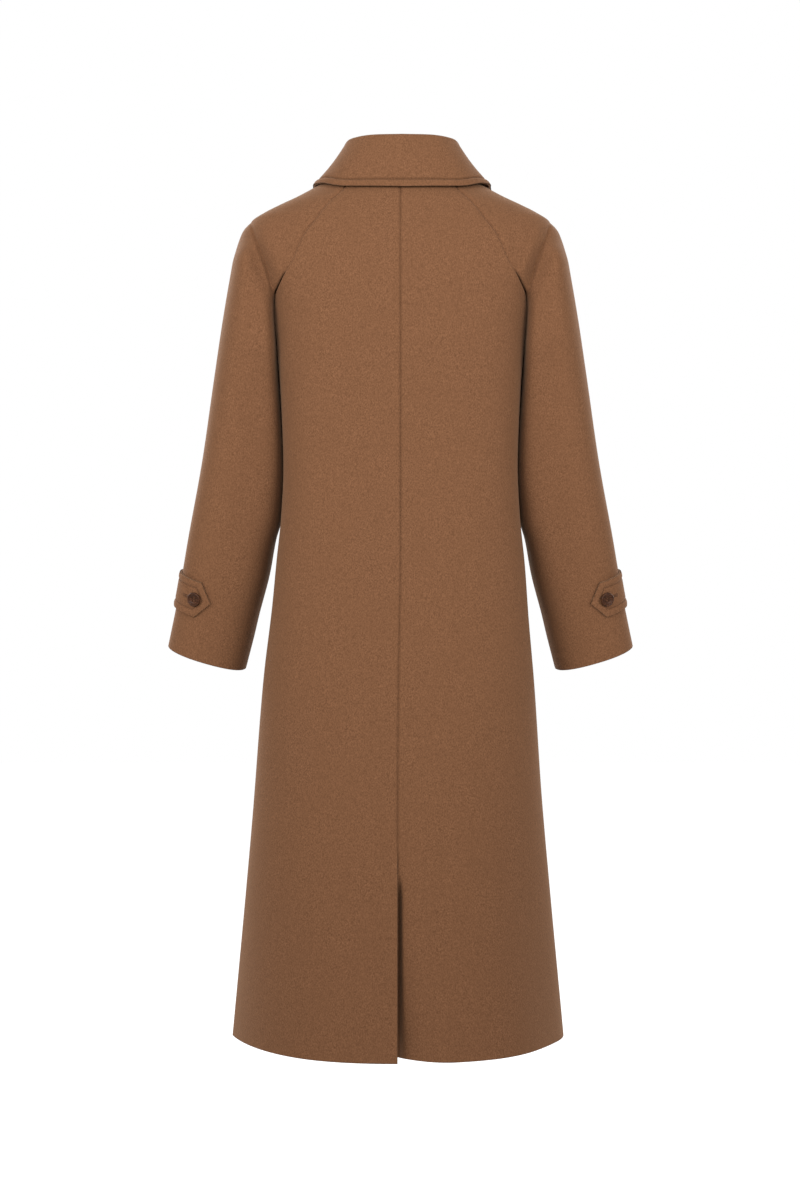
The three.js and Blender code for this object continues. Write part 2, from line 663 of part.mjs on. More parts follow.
// one station of the collar, from the neck seam to the edge of the leaf
function collarStation(turn) {
  const neck = torsoPoint(turn, neckLevel(turn));
  neck.z += NECK_GAP;
  const foldAt = (t) => new THREE.Vector3(collar.foldX(t), collar.foldY(t), collar.foldZ(t));
  const fold = foldAt(turn);
  const along = foldAt(Math.min(turn + 1, 90)).sub(foldAt(Math.max(turn - 1, -86))).normalize();
  if (turn >= 89) along.set(-1, 0, 0);
  const up = new THREE.Vector3(0, 0, 1);
  up.addScaledVector(along, -up.dot(along)).normalize();
  const out = up.clone().cross(along).normalize();
  if (out.dot(new THREE.Vector3(fold.x, fold.y, 0)) < 0) out.negate();
  const edgeTurn = collar.edgeTurn(turn);
  const edgeZ = collar.edgeZ(turn);
  const edge = torsoPoint(edgeTurn, edgeZ);
  edge.addScaledVector(torsoNormal(edgeTurn, edgeZ), COLLAR_CLOTH + LAP_GAP);
  return { neck, fold, up, out, edge, swell: collar.swell(turn) };
}

function collarRows() {
  const stations = [];
  for (let i = 0; i <= COLLAR_STATIONS; i += 1) {
    stations.push(collarStation(lerp(COLLAR_BACK, COLLAR_FRONT, i / COLLAR_STATIONS)));
  }
  const stand = [];
  const leaf = [];
  stations.forEach(({ neck, fold, up, out, edge, swell }) => {
    const centre = fold.clone().addScaledVector(up, -FOLD_RADIUS);
    const at = (o, u) => {
      const p = centre.clone().addScaledVector(out, o * FOLD_RADIUS);
      return p.addScaledVector(up, u * FOLD_RADIUS);
    };
    const standTop = at(STAND_TOP.out, STAND_TOP.up);
    const standRow = [0, 0.5, 1].map((f) => {
      const p = neck.clone().lerp(standTop, f);
      return p.addScaledVector(out, -STAND_HOLLOW * Math.sin(Math.PI * f));
    });
    stand.push(standRow);
    const bend = [-8, 22, 52, 82, 112, 142, 168].map((a) => at(-Math.cos(a * RAD), Math.sin(a * RAD)));
    const start = at(-1, -0.48);
    const turnDown = bend[bend.length - 1];
    const drop = [0.2, 0.4, 0.6, 0.8, 0.93, 1].map((f) => {
      const p = turnDown.clone().lerp(edge, f);
      return p.addScaledVector(out, swell * Math.sin(Math.PI * f));
    });
    leaf.push([start, ...bend.slice(1), ...drop]);
  });
  return { stand, leaf };
}

// both halves; the folded collar leans a little to the wearer's right of its neck seam
function wholeCollar(half, leans) {
  const other = half.slice(1).reverse().map((row) => row.map(mirrored));
  return [...other, ...half].map((row) => row.map((p, c) => p.clone().setX(p.x + COLLAR_LEAN * leans(c))));
}

function addCollar() {
  const { stand, leaf } = collarRows();
  const standRows = wholeCollar(stand, (c) => c / (stand[0].length - 1));
  const leafRows = wholeCollar(leaf, () => 1);
  const standNormals = gridNormals(standRows, (p) => new THREE.Vector3(0, 0, p.z));
  standNormals.forEach((row) => row.forEach((n) => n.setZ(0).normalize()));
  const leafNormals = rowBendNormals(leafRows);
  add('collar_stand', wall(standRows, standNormals, CLOTH), finish.wool(...WOOL));
  add('collar_leaf', wall(leafRows, leafNormals, COLLAR_CLOTH), finish.wool(...WOOL));
}

// outward directions of the folded leaf: always to the same hand along the row
function rowBendNormals(points) {
  const last = points[0].length - 1;
  return points.map((row, r) => row.map((_, c) => {
    const along = row[Math.min(c + 1, last)].clone().sub(row[Math.max(c - 1, 0)]);
    const above = points[Math.max(r - 1, 0)][c];
    const below = points[Math.min(r + 1, points.length - 1)][c];
    return below.clone().sub(above).cross(along).normalize();
  }));
}

// sleeve tabs and buttons

function sleevePoint(q, level) {
  const row = sleeveRow(level, q >= 0);
  const at = Math.abs(q) * FINE;
  const i = Math.min(Math.floor(at), FINE - 1);
  return settle(row[i].clone().lerp(row[i + 1], at - i));
}

function sleeveFrame(q, level) {
  const step = 0.01;
  const around = sleevePoint(q + step, level).sub(sleevePoint(q - step, level)).normalize();
  const down = sleevePoint(q, level - 2).sub(sleevePoint(q, level + 2)).normalize();
  const normal = down.clone().cross(around).normalize();
  const p = sleevePoint(q, level);
  if (normal.dot(p.clone().sub(sleeveMiddle(level))) < 0) normal.negate();
  return { p, normal, around, down };
}

function addTab(left) {
  const columns = 12;
  const rowsUp = 6;
  const points = [];
  const normals = [];
  for (let r = 0; r <= rowsUp; r += 1) {
    const across = (r / rowsUp) * 2 - 1;
    const line = [];
    const facing = [];
    const tip = lerp(TAB.tip, TAB.shoulder, Math.abs(across));
    for (let c = 0; c <= columns; c += 1) {
      const q = lerp(TAB.start, tip, c / columns);
      const { p, normal } = sleeveFrame(q, TAB.level - across * TAB.halfHeight);
      line.push(p.addScaledVector(normal, TAB_CLOTH + LAID_GAP));
      facing.push(normal);
    }
    points.push(line);
    normals.push(facing);
  }
  const placed = left ? points : points.map((row) => row.map(mirrored));
  const facing = left ? normals : normals.map((row) => row.map(mirrored));
  add(`tab_${left ? 'left' : 'right'}`, wall(placed, facing, TAB_CLOTH), finish.wool(...WOOL));
}

const wasm = await Module();
wasm.setup();

function toSolid(geometry) {
  const mesh = new wasm.Mesh({
    numProp: 3,
    vertProperties: new Float32Array(geometry.attributes.position.array),
    triVerts: new Uint32Array(geometry.index.array),
  });
  mesh.merge();
  return new wasm.Manifold(mesh);
}

function fromSolid(solid) {
  const mesh = solid.getMesh();
  const geometry = new THREE.BufferGeometry();
  geometry.setAttribute('position', new THREE.BufferAttribute(new Float32Array(mesh.vertProperties), 3));
  geometry.setIndex(new THREE.BufferAttribute(new Uint32Array(mesh.triVerts), 1));
  return geometry;
}

// a dished button with a rim and four holes, its back on the plane z = 0
function buttonGeometry({ radius, thick }) {
  const profile = [
    [0, 0], [0.78, 0], [0.96, 0.32], [1, 0.62], [0.93, 0.93], [0.84, 1], [0.7, 0.86], [0.52, 0.58], [0, 0.55],
  ].map(([r, h]) => new THREE.Vector2(r * radius, h * thick));
  const turned = new THREE.LatheGeometry(profile, 18);
  turned.rotateX(Math.PI / 2);
  turned.deleteAttribute('uv');
  turned.deleteAttribute('normal');
  let solid = toSolid(turned);
  if (solid.volume() < 0) solid = toSolid(flipped(turned));
  [[1, 1], [1, -1], [-1, 1], [-1, -1]].forEach(([sx, sy]) => {
    const hole = wasm.Manifold.cylinder(thick * 2, radius * 0.085, radius * 0.085, 6, true);
    solid = solid.subtract(hole.translate([sx * radius * 0.17, sy * radius * 0.17, 0]));
  });
  return fromSolid(solid);
}

function flipped(geometry) {
  const copy = geometry.clone();
  const index = copy.index.array;
  for (let i = 0; i < index.length; i += 3) [index[i + 1], index[i + 2]] = [index[i + 2], index[i + 1]];
  return copy;
}

function addButton(name, size, p, normal, upward, lift) {
  const z = normal.clone().normalize();
  const x = upward.clone().cross(z).normalize();
  const y = z.clone().cross(x);
  const place = new THREE.Matrix4().makeBasis(x, y, z);
  place.setPosition(p.clone().addScaledVector(z, lift));
  const geometry = buttonGeometry(size);
  geometry.applyMatrix4(place);
  add(name, geometry, finish.horn());
}

function addTabButton(left) {
  const { p, normal, down } = sleeveFrame(TAB.button, TAB.level);
  const lift = TAB_CLOTH + LAID_GAP + BUTTON_GAP;
  const turn = left ? (v) => v : mirrored;
  const name = `tab_button_${left ? 'left' : 'right'}`;
  addButton(name, TAB_BUTTON, turn(p), turn(normal), turn(down).negate(), lift);
}

function addFrontButtons() {
  FRONT_BUTTON_LEVELS.forEach((level, i) => {
    const p = torsoPoint(-90, level);
    const normal = torsoNormal(-90, level);
    addButton(`front_button_${i + 1}`, FRONT_BUTTON, p, normal, new THREE.Vector3(0, 0, 1), FRONT_BUTTON_GAP);
  });
}

[true, false].forEach((left) => {
  backPanel(left);
  frontPanel(left);
  sleevePanel(left, true);
  sleevePanel(left, false);
  addTab(left);
  addTabButton(left);
});
addCollar();
addFrontButtons();

export default group;
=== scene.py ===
"""Looks of a long wool overcoat, filled out as worn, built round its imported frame.

The scene is in metres, Z up, front on -Y. Tables and shapes are in millimetres, on the wearer's left.
"""

import logging
import math
from dataclasses import dataclass
from enum import Enum
from typing import Callable, Optional, Sequence

import bpy
import numpy as np
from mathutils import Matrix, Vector


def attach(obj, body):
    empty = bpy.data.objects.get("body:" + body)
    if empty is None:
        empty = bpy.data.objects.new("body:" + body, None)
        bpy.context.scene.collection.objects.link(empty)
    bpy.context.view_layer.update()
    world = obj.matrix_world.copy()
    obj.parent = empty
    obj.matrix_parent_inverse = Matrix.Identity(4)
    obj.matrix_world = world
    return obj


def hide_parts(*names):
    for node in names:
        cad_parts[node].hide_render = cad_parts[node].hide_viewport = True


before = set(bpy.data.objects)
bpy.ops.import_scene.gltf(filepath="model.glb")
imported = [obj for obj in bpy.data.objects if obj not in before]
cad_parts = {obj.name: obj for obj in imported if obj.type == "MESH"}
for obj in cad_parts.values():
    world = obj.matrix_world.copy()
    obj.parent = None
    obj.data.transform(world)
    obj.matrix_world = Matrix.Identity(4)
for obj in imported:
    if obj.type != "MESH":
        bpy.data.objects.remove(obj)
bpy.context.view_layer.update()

Array = np.ndarray
MM = 0.001
log = logging.getLogger("overcoat")


class Side(Enum):
    """The wearer's side that a piece belongs to."""

    LEFT = 1
    RIGHT = -1

    @property
    def word(self) -> str:
        """The side as it stands in node names.

        Returns:
            "left" or "right".
        """
        return self.name.lower()


class Face(Enum):
    """Whether a piece lies behind or in front."""

    BACK = 1
    FRONT = -1


class Curve:
    """A smooth curve through a short table's column, with no overshoot."""

    def __init__(self, xs: Sequence[float], ys: Sequence[float]) -> None:
        """Fits the curve.

        Args:
            xs: where the column is known, in any order.
            ys: its values there.
        """
        order = np.argsort(xs)
        self.x = np.asarray(xs, float)[order]
        self.y = np.asarray(ys, float)[order]
        h = np.diff(self.x)
        d = np.diff(self.y) / h
        m = np.zeros_like(self.x)
        m[0], m[-1] = d[0], d[-1]
        for i in range(1, len(m) - 1):
            if d[i - 1] * d[i] > 0:
                w1, w2 = 2 * h[i] + h[i - 1], h[i] + 2 * h[i - 1]
                m[i] = (w1 + w2) / (w1 / d[i - 1] + w2 / d[i])
        self.h, self.m = h, m

    def __call__(self, at: Array | float) -> Array:
        """Reads the curve.

        Args:
            at: where to read it.

        Returns:
            Its values, carried on in a straight line outside the table.
        """
        at = np.asarray(at, float)
        inside = np.clip(at, self.x[0], self.x[-1])
        i = np.clip(np.searchsorted(self.x, inside, side="right") - 1, 0, len(self.h) - 1)
        h = self.h[i]
        t = (inside - self.x[i]) / h
        s = 1 - t
        out = (1 + 2 * t) * s * s * self.y[i] + t * t * (3 - 2 * t) * self.y[i + 1]
        out = out + t * s * h * (s * self.m[i] - t * self.m[i + 1])
        return out + np.where(at < self.x[0], self.m[0], self.m[-1]) * (at - inside)


class Table:
    """A short table with named columns, each read as a smooth curve of the first."""

    def __init__(self, names: str, rows: Sequence[Sequence[float]]) -> None:
        """Reads the table.

        Args:
            names: the column names, separated by spaces.
            rows: its rows.
        """
        data = np.asarray(rows, float)
        self.first = data[:, 0]
        for k, name in enumerate(names.split()[1:], start=1):
            setattr(self, name, Curve(data[:, 0], data[:, k]))


TORSO = Table("z side back front square lean pinch", [
    (10, 62, 52, 36, 2.0, 0, 0), (0, 78, 59, 44, 2.0, 0, 0), (-10, 94, 66, 52, 2.05, 0, 0),
    (-24, 117, 75.5, 62, 2.15, 0, 0), (-38, 142.5, 84, 70, 2.25, 0, 0), (-49, 165, 89, 75, 2.4, 0, 0),
    (-60, 186, 93, 80, 2.5, 0, 0), (-71, 201.5, 97, 84, 2.6, 0, 0), (-85, 207, 101, 91, 2.75, 0, 0),
    (-110, 199, 107, 100, 2.95, 0, 0), (-135, 188, 110.5, 107, 3.1, 0, 0),
    (-167, 176, 112.5, 113, 3.25, 0, 0), (-200, 170, 112, 116, 3.3, 0, 0),
    (-247, 165, 110, 117, 3.3, 0, 0), (-323, 160, 104, 114, 3.2, 0, 0),
    (-400, 157.5, 100, 110, 3.05, 0, 0), (-464, 160.5, 101, 110, 2.9, 0, 0),
    (-528, 167, 105, 112, 2.75, 0.5, 0), (-593, 172.5, 110, 116, 2.6, 1.5, 0),
    (-686, 182, 121, 124, 2.45, 2.5, 0.08), (-848, 194, 142, 143, 2.25, 3.5, 0.24),
    (-983, 206, 163, 162, 2.15, 3.5, 0.36), (-1164, 223, 195, 190, 2.1, 3.5, 0.5),
])
NECK = Table("turn z", [
    (90, -10), (54, -6), (27, -3.2), (0, -1.5), (-21, -4), (-42, -10), (-61.7, -25), (-75, -45),
    (-90, -75),
])
RAGLAN = Table("z behind before", [
    (-6, 54, -41), (-10, 54.5, -42), (-20, 55.8, -46), (-32, 58.3, -50), (-52, 62, -55),
    (-74, 64.2, -57), (-105, 58, -53), (-133, 49.5, -45.5), (-161, 32.6, -30.5), (-174.6, 21.6, -20.5),
    (-190, 14, -13.5), (-205, 9.5, -9.2), (-217, 6.2, -6), (-227, 3.2, -3.2), (-235, 0, 0),
])
SLEEVE = Table("z over blend swell pitch inner", [
    (-6, -1.5, 0, 90, 0, 2.2), (-24, -12, 0, 90, 0, 2.2), (-55, -31, 0, 90, 0, 2.2),
    (-95, -58, 0, 90, 0, 2.3), (-118, -74, 0.12, 93, 0, 2.6), (-140, -92, 0.45, 90, 0, 3.2),
    (-158, -110, 0.85, 87, 0, 4.2), (-174, -128, 1, 84, 0, 5), (-205, -168, 1, 80, 1, 5.8),
    (-235, -212, 1, 78, 2, 6), (-323, -305, 1, 75, 3.5, 6), (-400, -380, 1, 70, 5, 5),
    (-464, -441, 1, 65, 7, 4), (-528, -502, 1, 60, 8.5, 3), (-593, -564, 1, 55.5, 9.8, 2.6),
    (-671, -640, 1, 51, 10, 2.4),
])
OVER_ARM = Table("z x y", [
    (-60, 186, 0), (-71, 201.5, 0), (-81, 211.5, 0), (-92, 216.7, -0.5), (-113, 223, -1),
    (-146, 229.6, -1.5), (-200, 239.2, -2.5), (-281, 251.8, -7), (-389, 268, -12), (-497, 289, -26),
    (-578, 304, -42), (-640, 317, -57),
])
UNDER_ARM = Table("z x y", [
    (-174, 175, 0), (-235, 166.3, 0), (-270, 165, -12), (-323, 161.4, -26), (-400, 157.6, -36),
    (-464, 162, -42), (-497, 171, -45), (-541, 179, -49), (-601, 194, -56), (-626, 199.5, -59),
    (-671, 210.5, -64),
])
ARM_FOLD = Table("z x depth notch", [
    (-62, 204, 0, 0), (-77, 199.5, 2.5, 1.6), (-96, 193.5, 7, 2.6), (-118, 185, 11, 3),
    (-143, 176, 14, 3), (-159, 171.5, 12, 2.4), (-176, 168, 6, 1.2), (-192, 166.5, 0, 0),
])
COLLAR = Table("turn fold_x fold_y fold_z edge_turn edge_z swell", [
    (90, 0, 72, 36.2, 90, -38.5, 3), (60, 40, 64, 36.8, 62, -37, 2.5),
    (30, 68, 34, 36.8, 33, -28, -0.8), (0, 73.5, -4, 33, 0, -24.4, -3), (-30, 62, -38, 15, -27, -34, 0),
    (-60, 37, -68, -18, -50, -66, 2), (-86, 8, -87, -51, -68, -104, 2),
])

UNDERARM = -235.0
HEM = -1164.0
CUFF = -671.0
VENT_TOP = -925.0
SHOULDER_POINT = -71.0
NECK_LEVEL = {Face.BACK: -6.0, Face.FRONT: -10.0}
FINE = 240

# The fold that hangs from the shoulder point: its levels, half widths to either side, and crease.
FOLD_TOP, FOLD_END = -62.0, -192.0
FOLD_TO_BODY, FOLD_TO_ARM = 9.0, 18.0
FOLD_OFF_SIDE = 30.0
CREASE_WIDTH, CREASE_GAIN = 2.0, 1.5

# The skirt's lean to one side: the level it starts from and how far down it reaches its full size.
LEAN_FROM, LEAN_RUN = -480.0, -200.0

# A pressed seam: the dip in its line, and the allowance that shows beside it.
SEAM_DIP, SEAM_WIDTH = 1.7, 1.5
ALLOWANCE_RISE, ALLOWANCE_AT, ALLOWANCE_WIDTH = 0.3, 7.5, 4.0
GROOVE_WIDTH = 1.2
TURNING_STEP = -2.5

# A shell's edges: how far a sewn one runs on, and how far a free one is rounded in.
SEWN_ONWARD = 0.13
RIM_SHARE, RIM_MOST = 0.32, 0.9


def power(value: Array, exponent: Array | float) -> Array:
    """Raises a value's size to a power and keeps its sign."""
    return np.sign(value) * np.abs(value) ** exponent


def smooth(t: Array | float) -> Array:
    """A soft step from 0 to 1 as t goes from 0 to 1."""
    c = np.clip(t, 0, 1)
    return c * c * (3 - 2 * c)


def unit(v: Array) -> Array:
    """Each direction at length one."""
    return v / np.maximum(np.linalg.norm(v, axis=-1, keepdims=True), 1e-12)


def hump(t: Array) -> Array:
    """A soft bump, 1 where t is 0."""
    return np.exp(-t ** 2)


def stack(x: Array, y: Array, z: Array) -> Array:
    """Points from their coordinates."""
    return np.stack(np.broadcast_arrays(x, y, z), axis=-1).astype(float)


def torso_point(turn: Array | float, z: Array | float) -> Array:
    """The body's section.

    Args:
        turn: degrees round it, 90 behind, 0 at the wearer's left and -90 in front.
        z: its level in millimetres.

    Returns:
        Points on it, in millimetres.
    """
    turn, z = np.broadcast_arrays(np.asarray(turn, float), np.asarray(z, float))
    rad = np.radians(turn)
    exponent = 2 / TORSO.square(z)
    depth = np.where(turn > 0, TORSO.back(z), TORSO.front(z))
    across = power(np.cos(rad), exponent)
    y = depth * power(np.sin(rad), exponent) * (1 - TORSO.pinch(z) * np.abs(across) ** 6)
    return stack(TORSO.side(z) * across, y, z)


def torso_normal(turn: float, z: float) -> Array:
    """The outward direction of the body's section."""
    across = torso_point(turn + 0.2, z) - torso_point(turn - 0.2, z)
    down = torso_point(turn, z - 0.4) - torso_point(turn, z + 0.4)
    return -unit(np.cross(across, down))


def settle(p: Array) -> Array:
    """Presses the cloth in where the fold hangs from the shoulder, and leans the skirt.

    Args:
        p: points as cut, in millimetres.

    Returns:
        The points as they hang.
    """
    q = p.copy()
    z = p[..., 2]
    away = np.abs(p[..., 0]) - ARM_FOLD.x(z)
    inside = (z < FOLD_TOP) & (z > FOLD_END)
    broad = ARM_FOLD.depth(z) * hump(away / np.where(away < 0, FOLD_TO_BODY, FOLD_TO_ARM))
    sharp = CREASE_GAIN * ARM_FOLD.notch(z) * hump(away / CREASE_WIDTH)
    reach = smooth(np.abs(p[..., 1]) / FOLD_OFF_SIDE)
    q[..., 1] -= np.sign(p[..., 1]) * np.where(inside, broad + sharp, 0) * reach
    q[..., 0] += TORSO.lean(z) * smooth((z - LEAN_FROM) / LEAN_RUN)
    return q


def run_along(line: Array) -> Array:
    """Distance of a line's points along it from the first."""
    return np.concatenate([[0], np.cumsum(np.linalg.norm(np.diff(line, axis=0), axis=1))])


def read_along(at: Array, run: Array, values: Array) -> Array:
    """Reads a line's values at places along it.

    Args:
        at: the places to read at.
        run: the places of the values.
        values: three numbers for each of those.

    Returns:
        Three numbers for each place asked for.
    """
    return np.stack([np.interp(at, run, values[:, k]) for k in range(3)], axis=-1)


def respace(line: Array, offsets: Array, shares: Array) -> Array:
    """Picks points along a finely drawn row.

    Args:
        line: the row's own points.
        offsets: millimetres that each column keeps from a border, whatever the row's length.
        shares: the share of the row's length added to that.

    Returns:
        One point for each column.
    """
    run = run_along(line)
    return read_along(np.clip(offsets + shares * run[-1], 0, run[-1]), run, line)


def columns(count: int, start: Sequence[float], end: Sequence[float]) -> tuple[Array, Array]:
    """Columns that crowd toward the borders of a panel.

    Args:
        count: how many columns lie between the crowded ones.
        start: millimetres of the crowded columns from the row's start.
        end: the same from its end.

    Returns:
        Offsets and shares for respace.
    """
    s, e = max(start), max(end)
    share = np.linspace(0, 1, count + 2)
    between = s * (1 - share[1:-1]) - e * share[1:-1]
    offsets = np.concatenate([sorted(start), between, -np.array(sorted(end))[::-1]])
    shares = np.concatenate([np.zeros(len(start)), share[1:-1], np.ones(len(end))])
    return offsets, shares


def grid_normals(p: Array, outward: Callable[[Array], Array]) -> Array:
    """Outward directions over a grid of points.

    Args:
        p: rows by columns of points.
        outward: rough outward directions for those points.

    Returns:
        Unit directions.
    """
    n = unit(np.cross(np.gradient(p, axis=1), np.gradient(p, axis=0)))
    flip = np.sum(n * outward(p), axis=-1, keepdims=True) < 0
    return np.where(flip, -n, n)


def mirror(p: Array, side: Side) -> Array:
    """Points of the wearer's left, carried to the side asked for."""
    return p * np.array([side.value, 1, 1])


@dataclass(frozen=True)
class Shell:
    """A thin closed sheet of cloth over a grid of points.

    Its edges are named top, bottom, start and end: the grid's first and last row and column.
    """

    points: Array
    normals: Array
    thickness: Array
    keep: Optional[Array] = None
    free: tuple[str, ...] = ()
    soft: Optional[Array] = None
    sewn: tuple[str, ...] = ()

    def build(self, name: str) -> bpy.types.Object:
        """Builds the sheet: a free edge is rounded, and a sewn one runs on a little into its seam.

        Args:
            name: the object's name.

        Returns:
            The object, in metres.
        """
        rows, cols = self.points.shape[:2]
        keep = np.ones((rows - 1, cols - 1), bool) if self.keep is None else self.keep
        outer, inner = self.points.copy(), self.points - self.normals * self.thickness[..., None]
        middle = (outer + inner) / 2
        every = slice(None)
        edges_at = {"top": ((0,), (1,)), "bottom": ((-1,), (-2,)),
                    "start": ((every, 0), (every, 1)), "end": ((every, -1), (every, -2))}
        for edge in self.sewn:
            at, near = edges_at[edge]
            onward = unit(self.points[at] - self.points[near]) * SEWN_ONWARD
            for layer in (outer, middle, inner):
                layer[at] += onward
        for edge in self.free:
            at, near = edges_at[edge]
            rounding = np.minimum(self.thickness[at] * RIM_SHARE, RIM_MOST)[..., None]
            back = unit(self.points[near] - self.points[at]) * rounding
            if self.soft is not None:
                back = back * self.soft[at][..., None]
            outer[at] += back
            inner[at] += back
        index = np.arange(rows * cols).reshape(rows, cols)
        total = rows * cols
        r, c = np.nonzero(keep)
        quads = np.stack([index[r, c], index[r + 1, c], index[r + 1, c + 1], index[r, c + 1]], axis=1)
        edges = np.concatenate([quads[:, [k, (k + 1) % 4]] for k in range(4)])
        keys = {(int(a), int(b)) for a, b in edges}
        border = [(a, b) for a, b in keys if (b, a) not in keys]
        faces = quads.tolist() + (quads[:, ::-1] + total).tolist()
        for a, b in border:
            faces.append([b, a, a + 2 * total, b + 2 * total])
            faces.append([b + 2 * total, a + 2 * total, a + total, b + total])
        verts = np.concatenate([outer.reshape(-1, 3), inner.reshape(-1, 3), middle.reshape(-1, 3)])
        return make_mesh(name, verts, faces, self.normals.reshape(-1, 3)[index[r[0], c[0]]])


def make_mesh(name: str, verts: Array, faces: list[list[int]],
              facing: Optional[Array] = None) -> bpy.types.Object:
    """Makes a smooth mesh object from millimetre points, unused points dropped.

    Args:
        name: its name.
        verts: its points, in millimetres.
        faces: its faces.
        facing: the direction its first face should look in, if that is known.

    Returns:
        The object, linked to the scene.
    """
    used = np.unique(np.concatenate([np.asarray(f) for f in faces]))
    to = np.full(len(verts), -1)
    to[used] = np.arange(len(used))
    a, b, c = (verts[faces[0][k]] for k in range(3))
    turn = facing is not None and float(np.dot(np.cross(b - a, c - a), facing)) < 0
    faces = [[int(to[v]) for v in (reversed(f) if turn else f)] for f in faces]
    mesh = bpy.data.meshes.new(name)
    mesh.from_pydata((verts[used] * MM).tolist(), [], faces)
    mesh.validate()
    mesh.shade_smooth()
    obj = bpy.data.objects.new(name, mesh)
    bpy.context.scene.collection.objects.link(obj)
    return obj


class Nodes:
    """A small builder for a material's nodes."""

    def __init__(self, name: str) -> None:
        """Starts a material.

        Args:
            name: the material's name.
        """
        self.material = bpy.data.materials.new(name)
        self.material.use_nodes = True
        self.tree = self.material.node_tree
        self.tree.nodes.clear()
        self.out = self.add("ShaderNodeOutputMaterial")
        self.coords = self.add("ShaderNodeTexCoord").outputs["Object"]

    def add(self, kind: str, **values: object) -> bpy.types.Node:
        """Adds a node.

        Args:
            kind: its type.
            values: its properties, or its sockets by name with _ for a space.

        Returns:
            The node.
        """
        node = self.tree.nodes.new(kind)
        for key, value in values.items():
            if hasattr(node, key):
                setattr(node, key, value)
            else:
                node.inputs[key.replace("_", " ")].default_value = value
        return node

    def link(self, source: bpy.types.NodeSocket, node: bpy.types.Node, socket: str | int) -> None:
        """Joins an output to a node's input."""
        self.tree.links.new(source, node.inputs[socket])

    def stretched(self, scale: tuple[float, float, float]) -> bpy.types.NodeSocket:
        """The object's own coordinates, scaled.

        Args:
            scale: how many units a metre becomes along each axis.

        Returns:
            The scaled vector.
        """
        mapping = self.add("ShaderNodeMapping", Scale=scale)
        self.link(self.coords, mapping, "Vector")
        return mapping.outputs["Vector"]

    def noise(self, scale: tuple[float, float, float], detail: float,
              rough: float = 0.55) -> bpy.types.NodeSocket:
        """A noise pattern that stays on the object.

        Args:
            scale: cells a metre along each axis.
            detail: how many finer layers it has.
            rough: how strong those are.

        Returns:
            Its value.
        """
        node = self.add("ShaderNodeTexNoise", Scale=1.0, Detail=detail, Roughness=rough)
        self.link(self.stretched(scale), node, "Vector")
        return node.outputs["Fac"]

    def ramp(self, value: bpy.types.NodeSocket, low: float, high: float, to_low: float = 0.0,
             to_high: float = 1.0) -> bpy.types.NodeSocket:
        """Spreads a value from one range to another."""
        node = self.add("ShaderNodeMapRange", From_Min=low, From_Max=high, To_Min=to_low, To_Max=to_high)
        self.link(value, node, "Value")
        return node.outputs["Result"]

    def blend(self, share: bpy.types.NodeSocket, a: Sequence[float] | bpy.types.NodeSocket,
              b: Sequence[float] | bpy.types.NodeSocket, mode: str = "MIX") -> bpy.types.NodeSocket:
        """Mixes two colours.

        Args:
            share: how much of the second.
            a: the first colour, or an output that gives it.
            b: the second.
            mode: how they mix.

        Returns:
            The mixed colour.
        """
        node = self.add("ShaderNodeMix", data_type="RGBA", blend_type=mode)
        self.tree.links.new(share, node.inputs[0])
        for slot, colour in ((6, a), (7, b)):
            if isinstance(colour, bpy.types.NodeSocket):
                self.tree.links.new(colour, node.inputs[slot])
            else:
                node.inputs[slot].default_value = (*colour, 1.0)
        return node.outputs[2]

    def bump(self, height: bpy.types.NodeSocket, strength: float, distance: float,
             under: Optional[bpy.types.NodeSocket] = None) -> bpy.types.NodeSocket:
        """Raises the surface a little by a pattern."""
        node = self.add("ShaderNodeBump", Strength=strength, Distance=distance)
        self.link(height, node, "Height")
        if under is not None:
            self.link(under, node, "Normal")
        return node.outputs["Normal"]

    def finished(self, colour: bpy.types.NodeSocket, rough: Optional[bpy.types.NodeSocket] = None,
                 normal: Optional[bpy.types.NodeSocket] = None, **values: object) -> bpy.types.Material:
        """Gives the material its shader.

        Args:
            colour: its colour.
            rough: its roughness, if that varies.
            normal: its bumped directions, if it has any.
            values: the shader's other sockets by name, with _ for a space.

        Returns:
            The material.
        """
        shader = self.add("ShaderNodeBsdfPrincipled", Metallic=0.0, **values)
        for source, socket in ((colour, "Base Color"), (rough, "Roughness"), (normal, "Normal")):
            if source is not None:
                self.link(source, shader, socket)
        self.link(shader.outputs["BSDF"], self.out, "Surface")
        return self.material


